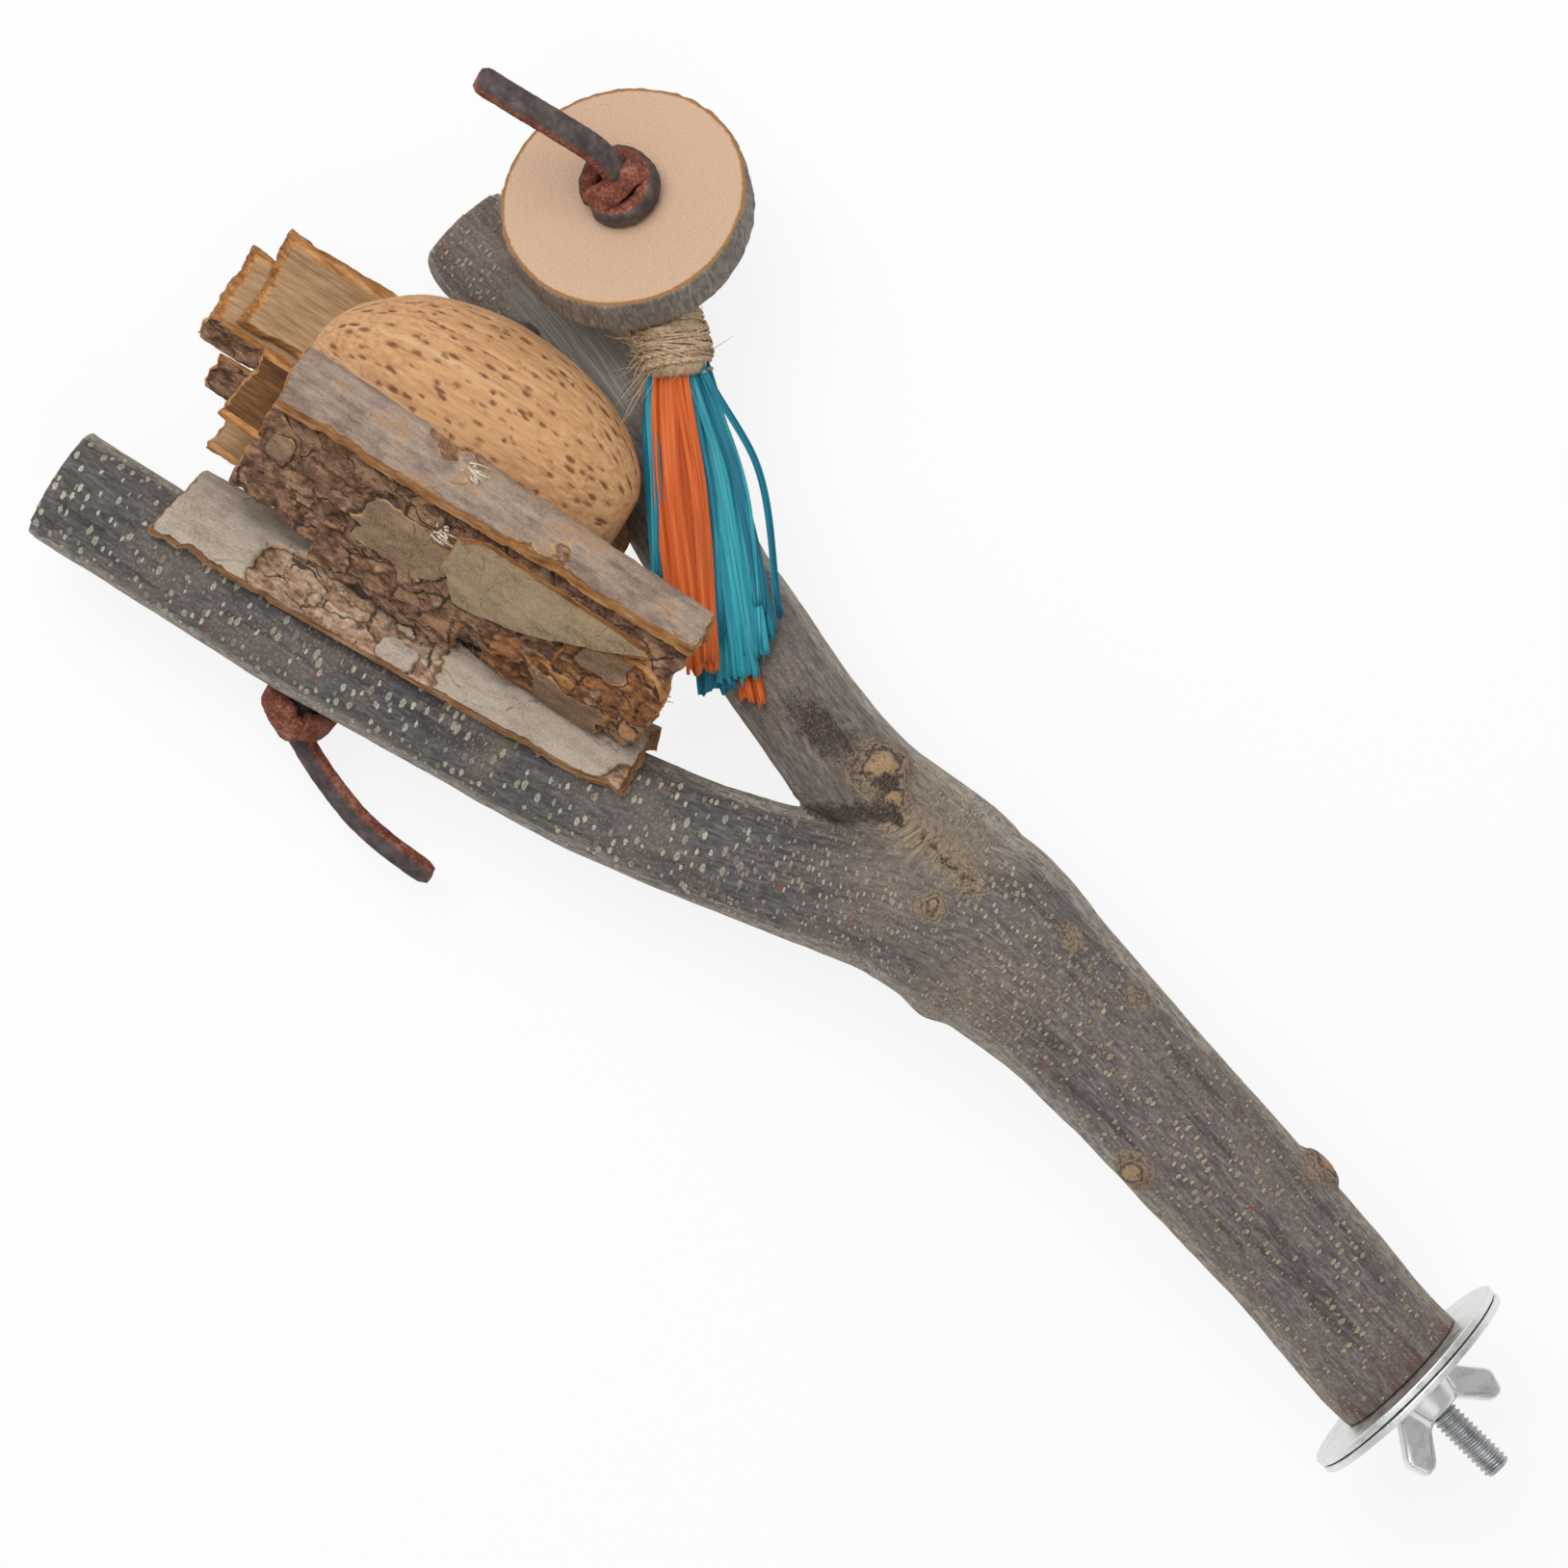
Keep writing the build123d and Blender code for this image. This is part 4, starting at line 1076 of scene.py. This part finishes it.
def bark_piece(name, section, along, place, thick, material, seed, plates=(), bias=0.75, rough=0.6, peel=0.8,
               tear=2.0, fray=1.0, back=(0.5, 0.5), end=0.5, narrow=None):
    """Curled strip of bark with torn ends, cut edges and skin that has flaked off its outer face.

    section is the strip's middle line across, as pairs in mm, and along its start and end.
    place turns a pair and a distance along into a row-frame point.
    plates are spots (along, across, reach, reach across) where skin is left.
    tear and fray are the unevenness of its ends and edges.
    back and end are how far the outer face stands back there, or the inner one if negative.
    narrow gives insets of the edges from shares along."""
    line = smooth_points([(a, b, 0) for a, b in section], 200)[:, :2]
    lengths = np.concatenate([[0], np.cumsum(np.linalg.norm(np.diff(line, axis=0), axis=1))])
    girth = lengths[-1]
    rows, columns = int(abs(along[1] - along[0]) / grid_step), max(8, int(girth / grid_step))
    grid = np.meshgrid(np.linspace(0, 1, rows), np.linspace(0, 1, columns), indexing="ij")
    u, v = (part.ravel() for part in grid)
    torn_from, torn_to = ragged(v * girth, seed, tear), ragged(v * girth, seed + 5, tear)
    s = along[0] + torn_from + (along[1] - along[0] + torn_to - torn_from) * u
    low, high = (np.clip(ragged(s, seed + shift, fray), 0, None) for shift in (9, 13))
    if narrow:
        first, last = narrow(u)
        low, high = low + first, high + last

    def on_section(w):
        """Places at distances across the strip."""
        return np.array([np.interp(w, lengths, line[:, k]) for k in (0, 1)])

    sheets, values = [], []
    for face in (1, -1):
        set_back = np.clip(np.array(back) * face, 0, None)
        w = low + set_back[0] + (girth - low - high - set_back.sum()) * v
        ahead = s - (2 * u - 1) * max(0.0, end * face) * np.sign(along[1] - along[0])
        spot = np.stack([ahead * 0.10, w * 0.22, np.full(len(w), seed)], axis=1)
        worn = bias + 0.4 * noises(spot, 1.3, 5)
        for centre, across, reach, wide in plates:
            worn -= 1.1 * np.exp(-(((ahead - centre) / reach) ** 4) - ((w - across) / wide) ** 4)
        flaked = ease(worn, 0.44, 0.56)
        if face > 0:
            lift = thick / 2 - peel * flaked + rough * (0.2 + flaked) * noises(spot, 2.2, 5)
            lift += 0.45 * rough * flaked * noises(spot * (1.2, 4.5, 1), 1.0, 3)
            lift = np.maximum(lift, 0.5 - thick / 2)
        else:
            lift = 0.15 * noises(spot, 2.0) - thick / 2
        way = on_section(w + 0.8) - on_section(w - 0.8)
        outward = np.array([-way[1], way[0]]) / np.hypot(*way)
        sheets.append([place(*p) for p in zip(*(on_section(w) + outward * lift), ahead)])
        values.append(np.stack([ahead, w, lift, np.full(len(w), face < 0), np.zeros(len(w)), worn], axis=1))

    # Cut edges: rings between the rims of the two faces
    faces, rim = two_sheets(rows, columns)
    vertices = sheets[0] + sheets[1]
    rings = [rim]
    for share in (0.06, 0.4, 0.75, 0.97):
        rings.append([len(vertices) + k for k in range(len(rim))])
        spots = [sheets[0][k].lerp(sheets[1][k], share) for k in rim]
        vertices += [spot + noise.noise_vector(spot * 1100) * 0.22 * mm for spot in spots]
        edge = values[0][rim] * (1 - share) + values[1][rim] * share
        edge[:, 4] = 1.0
        values.append(edge)
    rings.append([rows * columns + k for k in rim])
    for upper, under in zip(rings, rings[1:]):
        faces += band_faces(upper, under)
    piece = make_object(name, vertices, faces, material, 55)
    stored = np.vstack(values)
    put(piece, "grain", stored[:, :3], "FLOAT_VECTOR")
    for k, key in ((3, "inner"), (4, "edge"), (5, "worn")):
        put(piece, key, stored[:, k])
    return piece


def arc(centre, radius, first, last, count=16):
    """Points of an arc, angles in degrees."""
    angles = [math.radians(first + (last - first) * i / (count - 1)) for i in range(count)]
    return [(centre[0] + radius * math.cos(a), centre[1] + radius * math.sin(a)) for a in angles]


# Slab: round the upper side of the front prong
prong_way = Vector((140, 37.25, -4.0)).normalized()
prong_side = (e_t - prong_way * e_t.dot(prong_way)).normalized()
prong_up = prong_way.cross(prong_side) * -1


def on_prong(a, b, s):
    """Row-frame point beside the front prong."""
    return (Vector((lace_x, lace_y, front_drop)) + prong_side * a + prong_up * b + prong_way * s) * mm


slab_plates = [
    (34, 8, 13, 30), (19, 18, 13, 6), (-36, 3.5, 12, 6), (-54, 6, 9, 6), (-64, 15, 6, 8), (-22, 17, 6, 3.5),
    (-14, 2.5, 4, 2.5),
]
slab_section = arc((0, 0), 17.8, 79, -8)
slab = bark_piece("slab", slab_section, (-68.5, 42.5), on_prong, 4.8, pale_bark, 2.0, slab_plates, rough=1.3,
                  peel=1.3, tear=1.8, fray=2.2, back=(0.35, 0.6), end=1.3)
carry(slab, "branch", "pale_bark", "bark_slab")

# Scroll: its own frame is turned a little from the other toys
scroll_turn = Matrix.Rotation(math.radians(-1.5), 3, "Z")
scroll_side, scroll_way = scroll_turn @ e_t, scroll_turn @ e_s


def on_scroll(a, b, s):
    """Row-frame point of a place in a section of the scroll."""
    return (Vector((lace_x, lace_y, 0)) + scroll_side * a + scroll_way * s + e_z * b) * mm


def on_toy(a, b, s):
    """Row-frame point of a place in a section of the toys."""
    return toy(a, s, b)


def leaf(u):
    """Insets of the flake, which tapers toward its start."""
    return 14.5 * np.clip((0.85 - u) / 0.85, 0, 1) ** 1.4 + 6 * ease(u, 0.86, 1.0), 2.0 * ease(u, 0.86, 1.0)


def lobe(u):
    """Insets of a flap with a rounded start."""
    return (3.4 * np.clip((0.3 - u) / 0.3, 0, 1) ** 2,) * 2


def lip_taper(u):
    """Insets of the lip, narrower at its start."""
    return 4.2 * (1 - u) ** 1.2, 0 * u


roof_section = [
    (26.0, 1.4), (21.2, 7.0), (19.4, 12.5), (20.8, 18.0), (25.4, 22.8), (peak_t - 2.6, 27.4),
    (44, 28.8), (48.4, 29.6),
]
lip_section = [(35.6, 33.2), (40, 34.2), (44.5, 34.6), (47.6, 33.8), (48.6, 31.6), (47.2, 29.4)]
flake_section = [(22.6, 22.8), (26.0, 26.0), (31.0, 29.2), (36.6, 31.2)]
low_lobe_section = [(16.6, 8.0), (17.2, 14.0), (19.8, 18.6), (23.4, 22.4)]
high_lobe_section = [(21.6, 19.6), (24.4, 23.4), (28.0, 26.6), (33.4, 29.2)]
lip_plates = [(22, 7, 18, 14), (-8, 4, 14, 6), (-48, 7, 16, 12), (-20, 12, 9, 5)]

# Scroll's pieces as (name, material, seed, section, along, thickness, and the options of its bark)
scroll_pieces = [
    ("scroll_roof", dark_bark, 4.0, roof_section, (-64, 35), 3.6,
     dict(plates=[(-3, 29, 11, 5), (29, 31, 3, 3)], bias=0.9, rough=1.5, peel=0.9, tear=2.2, fray=2.0)),
    ("scroll_lip", lilac_bark, 6.0, lip_section, (-64, 35), 3.2,
     dict(plates=lip_plates, bias=0.74, rough=1.3, peel=0.5, tear=1.8, fray=1.6, back=(2.6, 0.3),
          narrow=lip_taper)),
    ("scroll_flake", green_bark, 9.0, flake_section, (-57, -12), 2.0,
     dict(plates=[(-30, 8, 30, 12)], bias=0.5, peel=0.4, tear=1.2, back=(1.0, 0.4), narrow=leaf)),
    ("scroll_lobe_low", rust_bark, 12.0, low_lobe_section, (-57, -27), 2.4,
     dict(plates=[(-48, 8, 7, 5)], bias=0.8, rough=1.0, peel=0.6, tear=1.8, back=(1.0, 0.8), narrow=lobe)),
    ("scroll_lobe_high", rust_bark, 14.0, high_lobe_section, (-65.5, -40), 2.4,
     dict(plates=[(-50, 12, 5, 4)], bias=0.85, rough=1.0, peel=0.6, tear=1.8, back=(0.9, 0.8), narrow=lobe)),
    ("scroll_foot", dark_bark, 25.0, [(14.6, 10.4), (16.6, 14.4), (20.9, 18.0)], (-22, 14), 2.4,
     dict(bias=0.95, rough=1.2, peel=0.5, tear=2.6, fray=2.0)),
    ("scroll_curl", hollow_bark, 17.0, arc((36.6, 27.4), 8.0, 345, 195), (14, 43.5), 2.0,
     dict(bias=0.9, rough=0.4, peel=0.3, back=(-0.6, -0.6), end=-0.8)),
    ("scroll_channel", dark_bark, 19.0, arc((27.4, 10.2), 5.6, 375, 190), (14, 43.5), 2.0,
     dict(bias=0.9, rough=0.5, peel=0.3, tear=2.4, back=(-0.5, -0.5), end=-0.8)),
]
for name, material, seed, section, along, thick, options in scroll_pieces:
    piece = bark_piece(name, section, along, on_scroll, thick, material, seed, **options)
    carry(piece, "branch", "dark_bark", *(["bark_scroll"] if name == "scroll_roof" else []))

# Troughs: two nested curls between the nut and the rear prong, bare inside, and rough strips under them
for name, node, seed, radius, low_angle, ahead, rim in (
    ("trough_inner", "bark_trough_inner", 8.0, 23.3, -106, 54, 6.6),
    ("trough_outer", "bark_trough_outer", 10.0, 26.6, -118, 60, 17.5),
):
    section = arc((nut_t, nut_z), radius, -32, low_angle)
    trough = bark_piece(name, section, (-7, ahead), on_toy, 2.8, dark_bark, seed,
                        bias=0.95, rough=0.5, tear=1.2, fray=1.2, back=(-1.9, -0.9), end=-2.6,
                        narrow=lambda u: (rim * ease(u, 0.24, 0.45), 0 * u))
    carry(trough, "branch", "dark_bark", node)
for name, seed, section, along in (
    ("trough_skirt_high", 21.0, [(40.6, -15.6), (43.4, -14.2), (46.6, -12.4)], (34, 58.5)),
    ("trough_skirt_low", 23.0, [(32.5, -19.4), (36.4, -18.0), (40.6, -16.6)], (32, 53)),
):
    skirt = bark_piece(name, section, along, on_toy, 2.2, dark_bark, seed,
                       bias=0.95, rough=1.1, tear=2.6, back=(0.8, 0.8))
    carry(skirt, "branch", "dark_bark")
ledge_section = [(58.5, -11.6), (54, -12.4), (49, -12.2), (45.5, -10.8)]
ledge = bark_piece("trough_ledge", ledge_section, (-41, -26), on_toy, 2.0, dark_bark, 27.0,
                   bias=0.95, rough=0.4, tear=1.0, fray=0.6, back=(-0.6, -0.6), end=-1.2)
carry(ledge, "branch", "dark_bark")


# Loose fibres: torn tufts on the scroll and curly strings at its end
def fibre(name, points, radius, material, sides=5):
    """One thin fibre through points, tapering to its tip."""

    def taper(share):
        """Share of the radius left at a share of the length."""
        return 1 - 0.75 * share**2

    side, section = Vector((0.31, 0.52, 0.79)), disc_section(radius, sides)
    return sweep(name, smooth_points(points, 14), side, section, material, taper=taper)


def jitter(size):
    """A random offset in mm."""
    return Vector([random.uniform(-size, size) for _ in range(3)])


def build_tufts():
    """Torn tufts on the scroll, each group as (place, number, reach)."""
    look = Look("torn_fibre", 0.9)
    grain = look.noise(look.place(), 900.0, 4.0, 0.6)
    torn_fibre = look.finish(look.bands(grain, (178, 148, 112), (222, 204, 178), (240, 230, 214)), grain)
    groups = [((46.4, -8.0, 35.6), 26, 4.2), ((33.2, -8.5, 28.6), 24, 3.6), ((19.6, -9.0, 14.0), 14, 2.4)]
    tufts = []
    for centre, number, reach in groups:
        for _ in range(number):
            root = toy(*(Vector(centre) + jitter(1.7)))
            lean = e_s * random.uniform(-1.0, 0.1) + e_t * random.uniform(-0.3, 0.3)
            lean = (lean + e_z * random.uniform(0.0, 0.3)) * reach
            points = [root, root + (lean * 0.5 + jitter(0.4)) * mm, root + lean * mm]
            tufts.append(fibre("tuft", points, random.uniform(0.14, 0.32), torn_fibre))
    carry(gather(tufts), "branch", "dark_bark").name = "torn_tufts"


def build_strings():
    """Curly strings at the scroll's end."""
    straw = strip_look("straw_string", (132, 92, 52), (182, 138, 88), (214, 178, 128))
    strings = []
    for _ in range(16):
        place = Vector((random.uniform(31, 41), random.uniform(-60, -54), random.uniform(24, 29)))
        points = [toy(*place)]
        for _ in range(5):
            ranges = ((-3.2, 0.8), (-2.6, 0.8), (-3.6, -0.4))
            place = place + Vector([random.uniform(*limits) for limits in ranges])
            points.append(toy(*place))
        strings.append(fibre("string", points, random.uniform(0.25, 0.55), straw, 6))
    carry(gather(strings), "branch", "dark_bark").name = "curly_strings"


build_tufts()
build_strings()

# Tassel: strips gathered at the tie
tie_centre = toy(89, -29.5, 4.2)
tassel_flat = Matrix.Rotation(math.radians(127), 3, "Z") @ e_s
tassel_way = (tassel_flat * 58 + e_z * 1.5).normalized()
tassel_side = e_z.cross(tassel_way).normalized()
tassel_up = tassel_way.cross(tassel_side)
row_step, layer_step, tassel_head = 3.4, 1.3, 8.0


def palm_strip(name, row, layer, spread, length, width, material, bow, seed):
    """One pleated strip of palm leaf, from the head, through the tie, to a frayed end."""
    rows, columns = 56, 21
    up, aside = tassel_up * layer * layer_step, row * row_step
    stations = [
        up - tassel_way * tassel_head + tassel_side * aside,
        up + tassel_side * aside,
        up * 1.2 + tassel_way * length * 0.45 + tassel_side * (0.55 * aside + 0.5 * spread + bow),
        up + tassel_way * length + tassel_side * spread,
    ]
    line = []
    for i, place in enumerate(smooth_points(stations, rows)):
        u = i / (rows - 1)
        loose = float(ease(u, 0.2, 0.6))
        sway, wave = (loose * noise.noise((u * 3.1, seed, height)) for height in (0.5, 7.5))
        line.append(tie_centre + (Vector(place) + tassel_side * 1.3 * sway + tassel_up * 0.9 * wave) * mm)
    sides, ups = frames_along(line, tassel_side.copy())
    sheets, grain = [[], []], [[], []]
    for i in range(rows):
        u = i / (rows - 1)
        broad = width * (0.5 + 0.5 * ease(u, 0.1, 0.5))
        fray = ease(u, 0.9, 1.0)
        for j in range(columns):
            v = j / (columns - 1) * 2 - 1
            wander = 2.5 * noise.noise(Vector((u * 2.0, v * 0.6, seed)))
            pleat = 0.4 * math.sin(v * 0.9 * width + seed * 2.1 + wander)
            pleat += 0.75 * noise.fractal(Vector((u * 1.8, v * 0.3 * width, seed)), 1.0, 2.0, 3)
            tooth = fray * noise.noise(Vector((math.floor((v + 1) * 5) * 1.7, seed, 9.0)))
            across = v * broad / 2 * (1 + 0.12 * fray) + 0.5 * fray * noise.noise(Vector((v * 9, seed, 2.0)))
            for k, face in enumerate((1, -1)):
                lift = pleat + 0.16 * face + tooth
                place = sides[i] * across + ups[i] * lift + tassel_way * 3.2 * tooth
                sheets[k].append(line[i] + place * mm)
                grain[k].append((u * length, v * broad / 2 + seed * 13, face * 0.2))
    faces, rim = two_sheets(rows, columns)
    faces += band_faces(rim, [k + rows * columns for k in rim])
    strip = make_object(name, sheets[0] + sheets[1], faces, material)
    put(strip, "grain", grain[0] + grain[1], "FLOAT_VECTOR")
    return strip


# Strips as (row across, layer, sideways place of the end, length past the tie, width, material, bow aside)
tassel_groups = {
    "tassel_teal_left": ("teal_fibre", [
        (-1.1, -1.6, -7.6, 47, 4.4, deep_teal, 0.2), (-1.2, 0, -7.1, 51, 4.4, teal, 0.3),
        (-1, -0.4, -5.6, 53, 4.6, deep_teal, 0), (-1.3, 0.9, -7.6, 44, 1.4, deep_teal, 1.1),
    ]),
    "tassel_orange": ("orange_fibre", [
        (-0.45, 1, -2.8, 61, 6.8, orange, -0.4), (-0.1, 1.6, -0.6, 65, 6.2, orange, 0),
        (0.3, 2.1, 1.8, 63, 3.6, orange, 0.6), (0.2, -2, 9.4, 71, 5.0, orange, 0),
        (0.3, -1.6, 11.6, 72, 1.6, orange, 0),
    ]),
    "tassel_teal_right": ("teal_fibre", [
        (0, -1, 3.2, 69, 7.5, deep_teal, 0), (0.5, -0.4, 5.6, 67, 5.6, teal, 0),
        (0.8, 0.2, 8.4, 66, 6.0, teal, 0.5), (1.1, 0.8, 11.4, 62, 5.0, teal, 1.2),
        (1.3, 1.2, 13.2, 52, 2.4, deep_teal, 1.6), (1.5, 1.7, 16.4, 55, 1.5, deep_teal, 3.6),
        (1.2, -0.6, 12.8, 59, 6.0, deep_teal, 0.6), (0.7, 1.5, 5.0, 58, 1.3, deep_teal, 1.4),
        (1.4, 1.4, 12.0, 63, 1.6, teal, 3.0),
    ]),
}
for label, (slot, strips) in tassel_groups.items():
    for i, strip_values in enumerate(strips):
        strip = palm_strip(f"{label}_{i}", *strip_values, 3.0 * i + len(label))
        carry(strip, "tassel", slot, *([label] if i == 0 else []))


# Jute: the tie's winding over a fibrous core, the hanger and loose hairs
def twine(name, places, side, radius=0.75):
    """Two strands twisted together along points."""
    places = [Vector(p) for p in places]
    sides, ups = frames_along(places, side)
    travel = np.concatenate([[0], np.cumsum([(b - a).length for a, b in zip(places, places[1:])])]) / mm
    strands = []
    for strand in (0, math.pi):
        line = []
        for place, a, b, turn in zip(places, sides, ups, travel * 2 * math.pi / 3.6 + strand):
            line.append(place + (a * math.cos(turn) + b * math.sin(turn)) * 0.46 * radius * mm)
        strands.append(sweep(name, line, side.copy(), disc_section(0.58 * radius, 8), jute))
    return gather(strands)


def round_tie(angle, along, radius):
    """Point round the tassel's neck."""
    outward = tassel_side * math.cos(angle) + tassel_up * math.sin(angle)
    return tie_centre + (tassel_way * along + outward * radius) * mm


# Core under the winding as (place along the tassel, radius)
core_profile = [
    (-13, 2.6), (-12, 4.2), (-10, 5.4), (-8, 6.2), (-5, 6.9), (-1, 6.9), (1.6, 6.3), (3, 5.4), (3.4, 4.0),
]


def build_tie():
    """The tie's winding, the fibrous core under it, and loose wraps."""
    turns, per_turn, core_sides = 4, 48, 60
    winding = []
    for i in range(turns * per_turn + 1):
        winding.append(round_tie(2 * math.pi * i / per_turn, (i / per_turn - 2) * 2.1 - 2, 7.0))
    carry(twine("tie", winding, tassel_way.copy()), "tassel", "jute", "jute_tie")
    core = []
    for along, radius in core_profile:
        for j in range(core_sides):
            angle = 2 * math.pi * j / core_sides
            lump = 0.35 * noise.noise(Vector((angle * 4, along, 1.0)))
            core.append(round_tie(angle, along, radius + lump))
    carry(make_object("tie_core", core, ring_faces(len(core_profile), core_sides), jute), "tassel", "jute")
    wraps = []
    for k in range(60):
        start, lean, turn = random.uniform(-10.0, 1.5), random.uniform(-5.0, 5.0), random.uniform(0, 6.28)
        radius, reach = random.uniform(0.2, 0.9), random.uniform(1.2, 4.0)
        points = []
        for step in np.linspace(0, 1, 24):
            along = min(3.0, max(-11.0, start + lean * math.sin(step * 2.2)))
            out = np.interp(along, *zip(*core_profile)) + radius + 0.3 * math.sin(9 * step + k)
            points.append(round_tie(turn + step * reach, along, out))
        section = disc_section(random.uniform(0.15, 0.36), 6)
        wraps.append(sweep("wrap", points, tassel_way.copy(), section, jute))
    carry(gather(wraps), "tassel", "jute").name = "tie_wraps"


def build_hairs():
    """Fine hairs round the tie, and coarser ones at its head."""
    hairs = []
    for _ in range(220):
        angle = math.radians(random.gauss(190, 50))
        root = round_tie(angle, random.uniform(-9, 3), 6.2)
        out = (root - round_tie(angle, 0, 0)).normalized()
        reach = random.uniform(3.0, 12.0)
        lean = tassel_way * random.uniform(-0.5, 1.0) + out * random.uniform(0.2, 0.8)
        lean = lean + tassel_up * random.uniform(0.0, 0.3)
        tip = root + lean * reach * mm + jitter(1.5) * mm
        middle = (root + tip) / 2 + jitter(1.2) * mm
        hairs.append(fibre("hair", [root, middle, tip], random.uniform(0.07, 0.15), jute, 4))
    for _ in range(60):
        root = round_tie(math.radians(random.uniform(140, 215)), random.uniform(-9, -1), 6.4)
        tip = round_tie(math.pi, random.uniform(-15, -6), random.uniform(8, 13)) + jitter(1.6) * mm
        middle = root.lerp(tip, 0.5) + jitter(1.0) * mm
        hairs.append(fibre("hair", [root, middle, tip], random.uniform(0.14, 0.38), jute, 5))
    carry(gather(hairs), "tassel", "jute").name = "jute_hairs"


def build_hanger():
    """The loop round the lace under the slice, and the leg from it to the tassel's head."""
    centre, radius = slice_face - slice_way * 17 * mm, 4.7 * mm
    leg_end = tie_centre - tassel_way * 8.5 * mm
    leg_way = (leg_end - centre).normalized()
    side = (leg_way - slice_way * leg_way.dot(slice_way)).normalized()
    other = slice_way.cross(side)
    angles = np.linspace(0, 2 * math.pi, 60)
    loop = [centre + (side * math.cos(a) + other * math.sin(a)) * radius for a in angles]
    leg = [loop[0].lerp(leg_end, share) for share in np.linspace(0, 1, 30)[1:]]
    carry(twine("hanger", loop + leg, slice_way.copy()), "tassel", "jute", "jute_hanger")


build_tie()
build_hairs()
build_hanger()


# Floor and light
def build_stage():
    """Pale floor under the object and soft light from above."""
    drop, size = 0.5 * mm, 6.0
    floor_z = cad_low.z - drop
    corners = [(x * size, y * size, floor_z) for x, y in ((-1, -1), (1, -1), (1, 1), (-1, 1))]
    look = Look("floor", 0.9)
    look.shader.inputs["Base Color"].default_value = (0.92, 0.92, 0.92, 1)
    glow = look.node("ShaderNodeEmission", {"Color": (1, 1, 1, 1), "Strength": 1.0})
    path = look.node("ShaderNodeLightPath").outputs
    mirrored = look.calc("MAXIMUM", path["Is Glossy Ray"], path["Is Transmission Ray"])
    share = look.times(look.calc("MAXIMUM", path["Is Camera Ray"], mirrored), 0.85)
    blend = look.node("ShaderNodeMixShader", {0: share, 1: look.shader.outputs[0], 2: glow.outputs[0]})
    look.tree.links.new(blend.outputs[0], look.tree.nodes["Material Output"].inputs["Surface"])
    make_object("floor", corners, [(0, 1, 2, 3)], look.material)

    world = bpy.data.worlds.new("studio")
    world.use_nodes = True
    world.node_tree.nodes["Background"].inputs["Color"].default_value = (1, 1, 1, 1)
    world.node_tree.nodes["Background"].inputs["Strength"].default_value = 0.44
    scene.world = world
    lights = [("key", (0.75, -0.15, 1.1), 9.8, 0.8), ("fill", (-0.5, 0.5, 1.2), 3.0, 1.2)]
    for name, place, power, width in lights:
        light = bpy.data.lights.new(name, "AREA")
        light.energy = power
        light.size = width
        lamp = bpy.data.objects.new(name, light)
        lamp.location = place
        lamp.rotation_mode = "QUATERNION"
        lamp.rotation_quaternion = (view_centre - Vector(place)).to_track_quat("-Z", "Y")
        scene.collection.objects.link(lamp)


build_stage()
